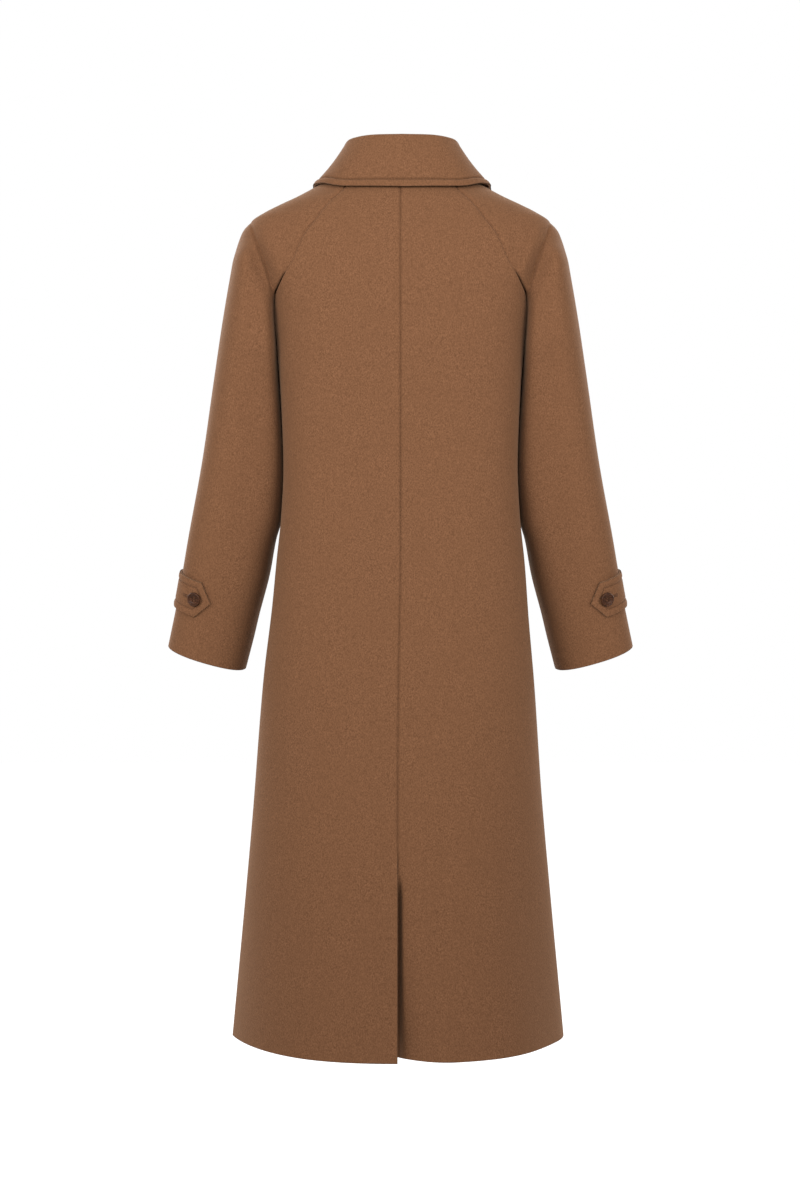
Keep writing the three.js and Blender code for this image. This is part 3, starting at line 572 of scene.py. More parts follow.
@dataclass(frozen=True)
class Wool:
    """Milled wool with a short brushed nap that runs down the cloth."""

    name: str = "wool"
    dark: tuple[float, float, float] = (0.051, 0.0223, 0.01)
    middle: tuple[float, float, float] = (0.086, 0.0388, 0.0183)
    light: tuple[float, float, float] = (0.135, 0.0625, 0.031)
    nap: float = 0.5

    def build(self) -> bpy.types.Material:
        """Makes the material.

        Returns:
            A procedural one: mottled colour, nap, faint weave, sheen.
        """
        n = Nodes(self.name)
        fibres = n.noise((1000, 1000, 620), 3, 0.65)
        tufts = n.noise((680, 680, 450), 2, 0.6)
        cloud = n.noise((34, 34, 22), 2)
        weave = n.add("ShaderNodeTexVoronoi", Scale=1.0, Randomness=0.8)
        n.link(n.stretched((760, 760, 760)), weave, "Vector")
        colour = n.blend(n.ramp(tufts, 0.3, 0.7), self.dark, self.light)
        colour = n.blend(n.ramp(fibres, 0.32, 0.68, 0.0, 0.5), colour, self.middle)
        colour = n.blend(n.ramp(cloud, 0.35, 0.65, 0.1, 0.4), colour, self.middle)
        normal = n.bump(weave.outputs["Distance"], 0.16 * self.nap, 0.0005)
        normal = n.bump(tufts, 0.5 * self.nap, 0.0012, normal)
        normal = n.bump(fibres, 0.8 * self.nap, 0.0007, normal)
        rough = n.ramp(fibres, 0.3, 0.7, 0.86, 0.98)
        return n.finished(colour, rough, normal, IOR=1.45, Specular_IOR_Level=0.05, Sheen_Weight=0.11,
                          Sheen_Roughness=0.45, Sheen_Tint=(0.85, 0.55, 0.35, 1.0))


@dataclass(frozen=True)
class Horn:
    """Polished dark horn with paler streaks."""

    name: str = "horn"
    dark: tuple[float, float, float] = (0.016, 0.006, 0.0028)
    light: tuple[float, float, float] = (0.05, 0.0185, 0.008)

    def build(self) -> bpy.types.Material:
        """Makes the material.

        Returns:
            A procedural one: streaked colour, fine scratches, a thin gloss.
        """
        n = Nodes(self.name)
        warp = n.noise((120, 120, 260), 3)
        streak = n.noise((300, 300, 900), 4, 0.6)
        colour = n.blend(n.ramp(streak, 0.38, 0.66), self.dark, self.light)
        colour = n.blend(n.ramp(warp, 0.45, 0.7, 0.0, 0.6), colour, self.dark)
        return n.finished(colour, n.ramp(streak, 0.3, 0.7, 0.3, 0.42), n.bump(streak, 0.08, 0.0003), IOR=1.54,
                          Specular_IOR_Level=0.07)


@dataclass(frozen=True)
class Thread:
    """Twisted sewing thread."""

    name: str = "thread"
    colour: tuple[float, float, float] = (0.052, 0.0232, 0.0115)

    def build(self) -> bpy.types.Material:
        """Makes the material.

        Returns:
            A procedural one with a fine twist.
        """
        n = Nodes(self.name)
        twist = n.noise((2600, 2600, 1300), 1)
        pale = tuple(1.4 * c for c in self.colour)
        colour = n.blend(n.ramp(twist, 0.35, 0.65), self.colour, pale)
        return n.finished(colour, n.ramp(twist, 0.3, 0.7, 0.62, 0.8), n.bump(twist, 0.4, 0.0002),
                          Specular_IOR_Level=0.08)


@dataclass(frozen=True)
class Paper:
    """A matt pale studio sweep."""

    name: str = "studio_paper"
    colour: tuple[float, float, float] = (0.985, 0.985, 0.985)

    def build(self) -> bpy.types.Material:
        """Makes the material.

        Returns:
            A matt one with the faintest grain.
        """
        n = Nodes(self.name)
        grain = n.noise((60, 60, 60), 2)
        near = tuple(c * 0.99 for c in self.colour)
        return n.finished(n.blend(grain, self.colour, near), Roughness=0.95, Specular_IOR_Level=0.0)


@dataclass(frozen=True)
class Finishes:
    """The materials that the pieces share."""

    wool: bpy.types.Material
    horn: bpy.types.Material
    thread: bpy.types.Material


def dress(obj: bpy.types.Object, material: bpy.types.Material, node: str) -> bpy.types.Object:
    """Gives a piece its finish and puts it on the frame.

    Args:
        obj: the piece.
        material: its finish.
        node: not used.

    Returns:
        The piece.
    """
    obj.data.materials.append(material)
    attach(obj, "root")
    return obj


def seam_relief(away: Array) -> Array:
    """How far cloth dips in a pressed seam and swells over its allowance, in millimetres.

    Args:
        away: distance from the seam.

    Returns:
        Heights, negative where the cloth dips.
    """
    allowance = ALLOWANCE_RISE * hump((away - ALLOWANCE_AT) / ALLOWANCE_WIDTH)
    return -SEAM_DIP * hump(away / SEAM_WIDTH) + allowance


def stitched_relief(away: Array, stitch_at: float, puff: float, groove: float) -> Array:
    """How far cloth swells between its edge and a row of top stitches, and dips under them.

    Args:
        away: distance from the edge.
        stitch_at: the stitches' distance from it.
        puff: how far the cloth swells.
        groove: how far it dips.

    Returns:
        Heights, negative where the cloth dips.
    """
    swell = puff * np.sin(math.pi * np.clip(away / stitch_at, 0, 1))
    return swell - groove * hump((away - stitch_at) / GROOVE_WIDTH)


def run_from(p: Array, axis: int, reverse: bool = False) -> Array:
    """Distance along a grid from one of its borders.

    Args:
        p: rows by columns of points.
        axis: 0 to measure down the rows, 1 along the columns.
        reverse: measure from the far border.

    Returns:
        The distances.
    """
    q = np.flip(p, axis) if reverse else p
    step = np.linalg.norm(np.diff(q, axis=axis), axis=-1)
    pad = [(0, 0), (0, 0)]
    pad[axis] = (1, 0)
    run = np.pad(np.cumsum(step, axis=axis), pad)
    return np.flip(run, axis) if reverse else run


@dataclass(frozen=True)
class Ease:
    """The soft unevenness of cloth that hangs: long troughs down the piece, and a slow ripple."""

    depth: float
    waves: float
    seed: float

    def at(self, p: Array) -> Array:
        """Heights over a grid of points, in millimetres."""
        x, z = p[..., 0], p[..., 2]
        turn = np.arctan2(p[..., 1], x + 1e-6)
        fall = smooth((-z - 320) / 700)
        long = np.sin(self.waves * turn + self.seed + 0.0012 * z) * fall
        slow = np.sin(0.011 * z + 1.7 * self.seed + 2.0 * turn) * np.sin(0.021 * x + self.seed)
        return self.depth * (long + 0.35 * slow)


def neck_level(turn: Array | float) -> Array:
    """The neck seam's level at a turn round the neck."""
    return NECK.z(turn)


def seam_turn(level: Array | float, face: Face) -> Array:
    """Where the raglan seam crosses the body's section at a level."""
    return RAGLAN.behind(level) if face is Face.BACK else RAGLAN.before(level)


def body_row(level: float, face: Face) -> Array:
    """One row of a body panel, from the centre line to the raglan or side seam.

    Args:
        level: its level at the seam end, in millimetres.
        face: back or front.

    Returns:
        A finely drawn row, on the wearer's left.
    """
    centre = 90.0 * face.value
    top_turn = float(seam_turn(NECK_LEVEL[face], face))
    top = float(neck_level(top_turn))
    f = 1 - (1 - np.linspace(0, 1, FINE + 1)) ** 1.25
    if level <= UNDERARM:
        return torso_point(centre * (1 - f), level)
    r = min(max((level - top) / (UNDERARM - top), 0), 1)
    end = float(seam_turn(min(level, top), face))
    neck = neck_level(centre + (top_turn - centre) * f)
    return torso_point(centre + (end - centre) * f, neck + (UNDERARM - neck) * r)


def turn_at(x: Array, z: float) -> Array:
    """Degrees round the body, from its side, at which its section is x off the centre."""
    return np.degrees(np.arccos(np.minimum(1, (x / TORSO.side(z)) ** (TORSO.square(z) / 2))))


def beyond_centre(x: Array, z: float, face: Face) -> Array:
    """Points on the far side of the centre line, where a lap lies."""
    return torso_point(face.value * turn_at(x, z), z) * np.array([-1, 1, 1])


def over_point(level: float) -> Array:
    """The over-arm end of a sleeve row."""
    z = float(SLEEVE.over(level))
    if z > SHOULDER_POINT:
        return np.array([float(TORSO.side(z)), 0, z])
    return np.array([float(OVER_ARM.x(z)), float(OVER_ARM.y(z)), z])


def inner_point(level: float, face: Face) -> Array:
    """The raglan or under-arm end of a sleeve row."""
    if level > UNDERARM:
        return torso_point(seam_turn(level, face), level)
    return np.array([float(UNDER_ARM.x(level)), float(UNDER_ARM.y(level)), level])


def shoulder_row(level: float, face: Face) -> Array:
    """The part of a sleeve row that still lies on the shoulder."""
    over = over_point(level)
    end = float(seam_turn(max(level, UNDERARM), face))
    stretch = over[0] / float(TORSO.side(over[2])) - 1
    f = np.linspace(0, 1, FINE + 1) ** 1.3
    p = torso_point(end * f, over[2] + (level - over[2]) * (2 * f * f - f ** 3))
    p[:, 0] *= 1 + stretch * (1 - f) ** 2
    p[:, 1] += over[1] * (1 - f) ** 2
    return p


def tube_row(level: float, face: Face) -> Array:
    """The part of a sleeve row that is a tube: a rounded section through its two ends."""
    over, inner = over_point(level), inner_point(level, face)
    open_arm = level > UNDERARM
    virtual = min(float(UNDER_ARM.x(max(level, UNDERARM))), 176) if open_arm else inner[0]
    middle_x = (over[0] + virtual) / 2
    outer_square, square, swell = 2.2, float(SLEEVE.inner(level)), float(SLEEVE.swell(level))
    middle_y = float(UNDER_ARM.y(min(level, -174)))
    rise = min(0.97, abs(inner[1] - middle_y) / swell) if open_arm else 0
    end = 180 - math.degrees(math.asin(rise ** (square / 2)))
    inwards = (middle_x - inner[0]) / abs(math.cos(math.radians(end))) ** (2 / square)
    pitch = math.radians(float(SLEEVE.pitch(level)))
    turn = np.radians(np.linspace(0, end, FINE + 1))
    exponent = np.where(turn < math.pi / 2, 2 / outer_square, 2 / square)
    cos, sin = power(np.cos(turn), exponent), power(np.sin(turn), exponent)
    x = middle_x + np.where(cos > 0, over[0] - middle_x, inwards) * cos
    f = np.clip((over[0] - x) / (over[0] - inner[0]), 0, 1)
    out = swell * sin * face.value
    p = stack(x, over[1] + (middle_y - over[1]) * f + out * math.cos(pitch),
              over[2] + (inner[2] - over[2]) * f - out * math.sin(pitch))
    p[-1] = inner
    return p


EVEN = (np.zeros(FINE + 1), np.linspace(0, 1, FINE + 1))


def sleeve_row(level: float, face: Face) -> Array:
    """One row of a sleeve panel, from the over-arm seam to the raglan or under-arm seam.

    Args:
        level: its level at the inner end, in millimetres.
        face: back or front.

    Returns:
        A finely drawn, evenly spaced row on the wearer's left.
    """
    blend = min(max(float(SLEEVE.blend(level)), 0), 1)
    tube = respace(tube_row(level, face), *EVEN)
    shoulder = respace(shoulder_row(level, face), *EVEN) if blend < 1 else tube
    return shoulder * (1 - blend) + tube * blend


SEAM_COLUMNS = (0.15, 0.5, 0.9, 1.4, 2.0, 2.8, 4.0, 5.6, 7.5, 10)
CENTRE_COLUMNS = {
    Face.BACK: (0.15, 0.5, 0.9, 1.4, 2.0, 2.8, 4.0, 5.6, 8, 11),
    Face.FRONT: (0.0, 3.0, 6.0, 9.0),
}
EDGE_ROWS = (0.3, 0.9, 1.8, 3.2, 5.5, 9, 14, 20, 27, 34, 37, 39.5, 41, 43)


def relief(p: Array, normals: Array, heights: Array) -> Array:
    """Moves points out along their normals."""
    return p + normals * heights[..., None]


def flat_area(p: Array, keep: Optional[Array] = None) -> float:
    """The area of a grid in square metres."""
    a = np.linalg.norm(np.cross(p[1:, :-1] - p[:-1, :-1], p[:-1, 1:] - p[:-1, :-1]), axis=-1)
    b = np.linalg.norm(np.cross(p[1:, :-1] - p[1:, 1:], p[:-1, 1:] - p[1:, 1:]), axis=-1)
    cells = (a + b) / 2
    return float(cells[keep].sum() if keep is not None else cells.sum()) * MM * MM


def from_axis(q: Array) -> Array:
    """Rough outward directions of the body, from a line down its middle."""
    return stack(q[..., 0], q[..., 1], 20)


def declare_cloth(obj: bpy.types.Object, p: Array, keep: Optional[Array], rests_on: Sequence[str]) -> None:
    """States the size that a piece of cloth was cut to.

    Args:
        obj: the piece.
        p: its outer grid, in millimetres.
        keep: the grid's cells that it has, or None for all.
        rests_on: not used.
    """
    area = flat_area(p, keep)
    length = float(np.percentile(run_from(p, 0)[-1], 90)) * MM
    width = float(np.max(run_from(p, 1)[:, -1])) * MM
    width, length = max(width, area / length * 1.02), length
    faces = len(obj.data.polygons)
    log.info("%s: %d faces, cut %.3f x %.3f m, %.4f m2", obj.name, faces, width, length, area)


@dataclass(frozen=True)
class BodyPanel:
    """A back or front panel, from the neck seam to the hem."""

    side: Side
    face: Face
    cloth: float = 2.4
    hem_depth: float = 40.0
    turning: float = 1.3
    underlap: float = 40.0
    front_lap: float = 45.0
    lap_gap: float = 3.6
    pressed_width: float = 77.0
    pressed_depth: float = 24.0
    pressed_lift: float = 7.0
    lip: float = 13.0
    fullness: float = 8.0
    seam_fade: float = 42.0
    rim_fade: float = 30.0
    ease: Ease = Ease(1.0, 7.0, 0.4)

    @property
    def name(self) -> str:
        """The panel's node name."""
        return f"{self.face.name.lower()}_{self.side.word}"

    @property
    def levels(self) -> Array:
        """The levels of its rows."""
        hem = HEM + np.array(EDGE_ROWS)[::-1]
        rows = [np.linspace(-6, -40, 12)[:-1], np.linspace(-40, UNDERARM, 80)[:-1],
                np.linspace(UNDERARM, hem[0], 170)[:-1]]
        return np.concatenate(rows + [hem, [HEM]])

    def laps(self) -> Array:
        """How far past the centre line its extra columns lie, in millimetres."""
        if self.face is Face.FRONT:
            return np.array([self.front_lap, 44.2, 43.4, 42.4, 41, 39, 36, 32, 27, 22, 17, 12, 7, 3])
        if self.side is Side.RIGHT:
            return np.array([self.underlap, 39.5, 38.5, 36, 30, 22, 14, 7, 3])
        return np.array([])

    def grid(self) -> Array:
        """The panel as cut and sewn, on its own side, before it settles."""
        laps = self.laps()
        offsets, shares = columns(44, CENTRE_COLUMNS[self.face], SEAM_COLUMNS)
        rows = []
        for level in self.levels:
            row = body_row(float(level), self.face)
            own = respace(row, offsets, shares)
            if len(laps):
                own = np.concatenate([beyond_centre(laps, float(row[0, 2]), self.face), own])
            rows.append(own)
        return mirror(np.array(rows), self.side)

    def pressed(self, x: Array) -> Array:
        """How much the vent's pressed-back edge moves a place, from 0 to 1."""
        return np.clip((x + self.pressed_width) / self.pressed_width, 0, 1) ** 2

    def tuck(self, p: Array) -> Array:
        """How far the panel lies in under the other side's lap, negative where it stands fuller."""
        x, z = p[..., 0], p[..., 2]
        if self.side is Side.LEFT:
            return np.zeros_like(x)
        if self.face is Face.FRONT:
            return self.lap_gap * smooth((x + 71) / 22)
        down, opened = smooth((z + 890) / (VENT_TOP + 890)), np.clip((z - VENT_TOP) / (HEM - VENT_TOP), 0, 1)
        under = down * smooth((x + 30) / 30) * (self.lap_gap + 3 * opened)
        pressed = self.pressed_depth * self.pressed(x) * opened ** 2.4
        full = self.fullness * smooth((z + 1000) / (HEM + 1000)) * hump((np.abs(x) - 150) / 70)
        lip = self.lip * smooth((x + 7) / 6) * smooth((z - VENT_TOP) / -40)
        return under + pressed - full * smooth(p[..., 1] / 50) + lip

    def build(self, finishes: Finishes) -> bpy.types.Object:
        """Builds and dresses the panel.

        Args:
            finishes: the materials.

        Returns:
            The panel.
        """
        p = self.grid()
        p = relief(p, grid_normals(p, from_axis), -self.tuck(p))
        if self.side is Side.RIGHT and self.face is Face.BACK:
            opened = smooth((p[..., 2] - VENT_TOP) / (HEM - VENT_TOP))
            p[..., 2] += self.pressed_lift * self.pressed(p[..., 0]) * opened
        p = settle(p)
        lap = len(self.laps())
        n = grid_normals(p, from_axis)
        z = p[..., 2]
        from_end = run_from(p, 1, reverse=True)
        heights = seam_relief(from_end)
        quiet = smooth(np.abs(p[..., 0]) / 60) if self.face is Face.FRONT else 1.0
        heights = heights + self.ease.at(p) * smooth(from_end / 30) * smooth(run_from(p, 0) / 60) * quiet
        keep = None
        if self.face is Face.BACK:
            from_centre = np.abs(run_from(p, 1) - run_from(p, 1)[:, lap:lap + 1])
            seam = 1 - smooth((z - (VENT_TOP + self.seam_fade)) / -self.seam_fade)
            heights = heights + seam_relief(from_centre) * seam
            if lap:
                keep = np.ones((p.shape[0] - 1, p.shape[1] - 1), bool)
                keep[: int(np.argmax(self.levels <= VENT_TOP)), :lap] = False
        p = relief(p, n, heights)
        turned = smooth((z - (HEM + self.hem_depth)) / TURNING_STEP)
        soft = np.ones_like(z)
        if self.face is Face.BACK:
            soft[:, 0] = smooth((z[:, 0] - (VENT_TOP + self.rim_fade)) / -self.rim_fade)
        shell = Shell(p, grid_normals(p, from_axis), self.cloth + self.turning * turned, keep,
                      free=("bottom", "start"), soft=soft, sewn=("end",))
        obj = dress(shell.build(self.name), finishes.wool, self.name)
        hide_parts(self.name)
        holders = ["collar_stand", f"sleeve_{self.side.word}_{self.face.name.lower()}"]
        declare_cloth(obj, p, keep, holders)
        return obj


@dataclass(frozen=True)
class SleevePanel:
    """The back or front half of a raglan sleeve, from the neck seam to the cuff."""

    side: Side
    face: Face
    cloth: float = 2.4
    cuff_depth: float = 36.0
    turning: float = 1.2
    ease: Ease = Ease(0.5, 3.0, 1.1)

    @property
    def name(self) -> str:
        """The panel's node name."""
        return f"sleeve_{self.side.word}_{self.face.name.lower()}"

    @property
    def levels(self) -> Array:
        """The levels of its rows."""
        cuff = CUFF + np.array(EDGE_ROWS)[::-1]
        return np.concatenate([np.linspace(NECK_LEVEL[self.face], UNDERARM, 120)[:-1],
                               np.linspace(UNDERARM, cuff[0], 90)[:-1], cuff, [CUFF]])

    def away(self, p: Array) -> Array:
        """Rough outward directions, from the middle of each row."""
        middle = []
        for level in self.levels:
            over, inner = over_point(float(level)), inner_point(min(float(level), -150), Face.BACK)
            middle.append([(over[0] + inner[0]) / 2, over[1], min((over[2] + level) / 2, -110)])
        return p - np.array(middle)[:, None]

    def build(self, finishes: Finishes) -> bpy.types.Object:
        """Builds and dresses the panel.

        Args:
            finishes: the materials.

        Returns:
            The panel.
        """
        offsets, shares = columns(88, SEAM_COLUMNS, SEAM_COLUMNS)
        p = settle(np.array([respace(sleeve_row(float(v), self.face), offsets, shares) for v in self.levels]))
        n = grid_normals(p, self.away)
        start, end = run_from(p, 1), run_from(p, 1, reverse=True)
        heights = seam_relief(start) + seam_relief(end)
        off_seams = smooth(start / 25) * smooth(end / 25)
        heights = heights + self.ease.at(p) * off_seams * smooth(run_from(p, 0) / 90)
        p = relief(p, n, heights)
        n = grid_normals(p, self.away)
        turned = smooth((run_from(p, 0, reverse=True) - self.cuff_depth) / TURNING_STEP)
        shell = Shell(mirror(p, self.side), mirror(n, self.side), self.cloth + self.turning * turned,
                      free=("bottom",), sewn=("start", "end"))
        obj = dress(shell.build(self.name), finishes.wool, self.name)
        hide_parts(self.name)
        declare_cloth(obj, p, None, [f"{self.face.name.lower()}_{self.side.word}", "collar_stand"])
        return obj


def sleeve_points(q: Array, level: float) -> Array:
    """Points round the sleeve at one level.

    Args:
        q: shares of the row, positive behind the over-arm seam and negative before it.
        level: the row's level.

    Returns:
        The points on the wearer's left.
    """
    at = np.linspace(0, 1, FINE + 1)
    back, front = sleeve_row(level, Face.BACK), sleeve_row(level, Face.FRONT)
    behind, before = (read_along(np.abs(q), at, row) for row in (back, front))
    return settle(np.where((q >= 0)[..., None], behind, before))


THREAD_RINGS = ((0.0, 0.45), (0.16, 0.95), (0.5, 1.05), (0.84, 0.95), (1.0, 0.45))


def capsules(name: str, ends: Array, normals: Array, radius: float) -> bpy.types.Object:
    """Makes short rounded threads.

    Args:
        name: the object's name.
        ends: for each thread, its two ends, in millimetres.
        normals: a direction across each.
        radius: half its thickness.

    Returns:
        One object with them all.
    """
    sides, verts, faces = 6, [], []
    for (a, b), normal in zip(ends, normals):
        way = unit(b - a)
        up = unit(normal - way * np.dot(normal, way))
        side = np.cross(way, up)
        base = len(verts)
        for share, size in THREAD_RINGS:
            for k in range(sides):
                t = 2 * math.pi * k / sides
                verts.append(a + (b - a) * share + (up * math.sin(t) + side * math.cos(t)) * radius * size)
        last = len(THREAD_RINGS) - 1
        for ring in range(last):
            for k in range(sides):
                i, j = base + ring * sides + k, base + ring * sides + (k + 1) % sides
                faces.append([i, j, j + sides, i + sides])
        faces.append([base + k for k in reversed(range(sides))])
        faces.append([base + last * sides + k for k in range(sides)])
    return make_mesh(name, np.array(verts), faces)


def stitch_row(name: str, path: Array, normals: Array, pitch: float = 4.2, length: float = 3.0,
               radius: float = 0.3) -> bpy.types.Object:
    """Lays stitches end to end along a path.

    Args:
        name: the object's name.
        path: the path, in millimetres.
        normals: the cloth's outward direction along it.
        pitch: from one stitch to the next.
        length: how long each is.
        radius: half the thread's thickness.

    Returns:
        The stitches as one object.
    """
    run = run_along(path)
    starts = np.arange(1.0, run[-1] - length, pitch)
    ends = np.stack([read_along(starts, run, path), read_along(starts + length, run, path)], axis=1)
    return capsules(name, ends, read_along(starts + length / 2, run, normals), radius)


def buttonhole(name: str, path: Array, normals: Array, spread: float = 2.1, pitch: float = 0.62,
               radius: float = 0.34) -> bpy.types.Object:
    """Works a buttonhole: close stitches along both lips of a slot and round its outer end.

    Args:
        name: the object's name.
        path: the slot's line, from under the button to its outer end.
        normals: the cloth's outward direction along it.
        spread: how far the stitches reach from the slot.
        pitch: from one stitch to the next.
        radius: half the thread's thickness.

    Returns:
        The stitches as one object.
    """
    def bars(feet: Array, ways: Array, up: Array) -> Array:
        """Stitches from the slot's lip outward, sunk a little at their outer ends."""
        return np.stack([feet + 0.35 * ways + 0.15 * up, feet + spread * ways - 0.1 * up], axis=1)

    run = run_along(path)
    at = np.arange(0, run[-1], pitch)
    p, n = read_along(at, run, path), unit(read_along(at, run, normals))
    way = unit(np.gradient(p, axis=0))
    across = unit(np.cross(n, way))
    ends = [bars(p, across, n), bars(p, -across, n)]
    turn = np.radians(np.linspace(-80, 80, 9))
    fan = np.cos(turn)[:, None] * way[-1] + np.sin(turn)[:, None] * across[-1]
    ends.append(bars(p[-1], fan, n[-1]))
    facing = np.concatenate([n, n, np.repeat(n[-1:], len(turn), axis=0)])
    return capsules(name, np.concatenate(ends), facing, radius)


@dataclass(frozen=True)
class Collar:
    """The turned-down collar: a stand on the neck seam and a leaf folded over it."""

    radius: float = 6.2
    lean: float = -2.0
    stand_cloth: float = 2.4
    leaf_cloth: float = 3.6
    leaf_gap: float = 1.6
    stand_hollow: float = 1.5
    stitch_at: float = 10.0
    stitch_from: float = 16.0
    stitch_sunk: float = 1.5
    puff: float = 0.9
    groove: float = 2.0

    def stations(self) -> Array:
        """Turns round the neck from the centre back to the front end."""
        return np.concatenate([np.linspace(90, -76, 112)[:-1], np.linspace(-76, -86, 22)])

    def lines(self, turn: float) -> tuple[Array, Array]:
        """The collar's section at one turn.

        Args:
            turn: degrees round the neck.

        Returns:
            The stand's line from the seam up, and the leaf's from its under edge, over the fold, to its
            outer edge.
        """
        neck = torso_point(turn, neck_level(turn)) + np.array([0, 0, 0.5])
        fold_at = lambda t: np.array([COLLAR.fold_x(t), COLLAR.fold_y(t), COLLAR.fold_z(t)], float)
        fold = fold_at(turn)
        along = unit(fold_at(min(turn + 1, 90)) - fold_at(max(turn - 1, -86)))
        if turn >= 89:
            along = np.array([-1.0, 0, 0])
        up = unit(np.array([0, 0, 1.0]) - along * along[2])
        out = unit(np.cross(up, along))
        out = -out if out[0] * fold[0] + out[1] * fold[1] < 0 else out
        edge_turn, edge_z = float(COLLAR.edge_turn(turn)), float(COLLAR.edge_z(turn))
        out_by = self.leaf_cloth + self.leaf_gap
        edge = torso_point(edge_turn, edge_z) + torso_normal(edge_turn, edge_z) * out_by
        at = lambda o, u: fold - up * self.radius + (out * o + up * u) * self.radius
        top = at(-0.42, -0.55)
        f = np.linspace(0, 1, 14)[:, None]
        stand = neck + (top - neck) * f - out * self.stand_hollow * np.sin(math.pi * f)
        bend = [at(-math.cos(a), math.sin(a)) for a in np.radians(np.linspace(0, 168, 26))]
        g = np.linspace(0, 1, 60)[1:, None]
        drop = bend[-1] + (edge - bend[-1]) * g + out * float(COLLAR.swell(turn)) * np.sin(math.pi * g)
        return stand, np.concatenate([[at(-1, -0.48)], bend, drop])

    def whole(self, half: Array, leans: Array) -> Array:
        """Both halves of a grid, leaned a little to the wearer's right."""
        full = np.concatenate([mirror(half[:0:-1], Side.RIGHT), half])
        full[..., 0] += self.lean * leans
        return full

    def build(self, finishes: Finishes) -> list[bpy.types.Object]:
        """Builds and dresses the collar.

        Args:
            finishes: the materials.

        Returns:
            The stand, the leaf and its stitches.
        """
        outer_columns = (0, 0.4, 1.0, 1.8, 3, 4.6, 6.2, 7.6, 8.6, 9.3, 10, 10.7, 11.4, 12.4, 14)
        offsets, shares = columns(46, (0, 0.5, 1.4), outer_columns)
        pairs = [self.lines(float(t)) for t in self.stations()]
        stand = self.whole(np.array([s for s, _ in pairs]), np.linspace(0, 1, 14))
        leaf = self.whole(np.array([respace(l, offsets, shares) for _, l in pairs]), np.ones(1))
        flat = grid_normals(stand, lambda q: stack(q[..., 0], q[..., 1], 0)) * np.array([1, 1, 0])
        band = Shell(stand, unit(flat), np.full(stand.shape[:2], self.stand_cloth)).build("collar_stand")
        dress(band, finishes.wool, "collar_stand")
        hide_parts("collar_stand")
        declare_cloth(band, np.swapaxes(stand, 0, 1), None, ["back_left", "back_right"])
        n = unit(np.cross(np.gradient(leaf, axis=0), np.gradient(leaf, axis=1)))
        ends = np.minimum(run_from(leaf, 0), run_from(leaf, 0, reverse=True))
        edge = np.minimum(run_from(leaf, 1, reverse=True), ends)
        outside = smooth((run_from(leaf, 1) - 10) / 8)
        raised = relief(leaf, n, stitched_relief(edge, self.stitch_at, self.puff, self.groove) * outside)
        facing = unit(np.cross(np.gradient(raised, axis=0), np.gradient(raised, axis=1)))
        fall = Shell(raised, facing, np.full(leaf.shape[:2], self.leaf_cloth),
                     free=("start", "end", "top", "bottom"))
        obj = dress(fall.build("collar_leaf"), finishes.wool, "collar_leaf")
        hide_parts("collar_leaf")
        path, normals = self.stitch_path(relief(leaf, n, np.full(leaf.shape[:2], -self.stitch_sunk)), n)
        row = dress(stitch_row("collar_stitches", path, normals), finishes.thread, "collar_leaf")
        declare_cloth(obj, np.swapaxes(raised, 0, 1), None, ["collar_stand"])
        return [band, obj, row]

    def stitch_path(self, leaf: Array, n: Array) -> tuple[Array, Array]:
        """The line of the top stitching: down one front end, round the edge and up the other."""
        away = run_from(leaf, 1, reverse=True)
        pick = lambda v, i: read_along(self.stitch_at, away[i, ::-1], v[i, ::-1])
        side = run_from(leaf, 0)[:, -20]
        near = [i for i in range(len(leaf)) if self.stitch_at < side[i] < side[-1] - self.stitch_at]
        low, low_n = np.array([pick(leaf, i) for i in near]), np.array([pick(n, i) for i in near])
        seen = (away[near[0]] > self.stitch_at) & (run_from(leaf, 1)[near[0]] > self.stitch_from)
        rows = [int(j) for j in np.flatnonzero(seen)]
        up = [leaf[near[0], j] for j in rows], [n[near[0], j] for j in rows]
        down = [leaf[near[-1], j] for j in rows[::-1]], [n[near[-1], j] for j in rows[::-1]]
        return np.concatenate([up[0], low, down[0]]), np.concatenate([up[1], low_n, down[1]])


BUTTON_PROFILE = (
    (0, 0), (0.5, 0), (0.78, 0), (0.9, 0.1), (0.96, 0.28), (1, 0.5), (1, 0.66), (0.97, 0.84), (0.93, 0.94),
    (0.88, 0.99), (0.84, 1), (0.8, 0.98), (0.76, 0.93), (0.7, 0.82), (0.64, 0.71), (0.58, 0.63), (0.52, 0.58),
    (0.4, 0.55), (0, 0.55),
)


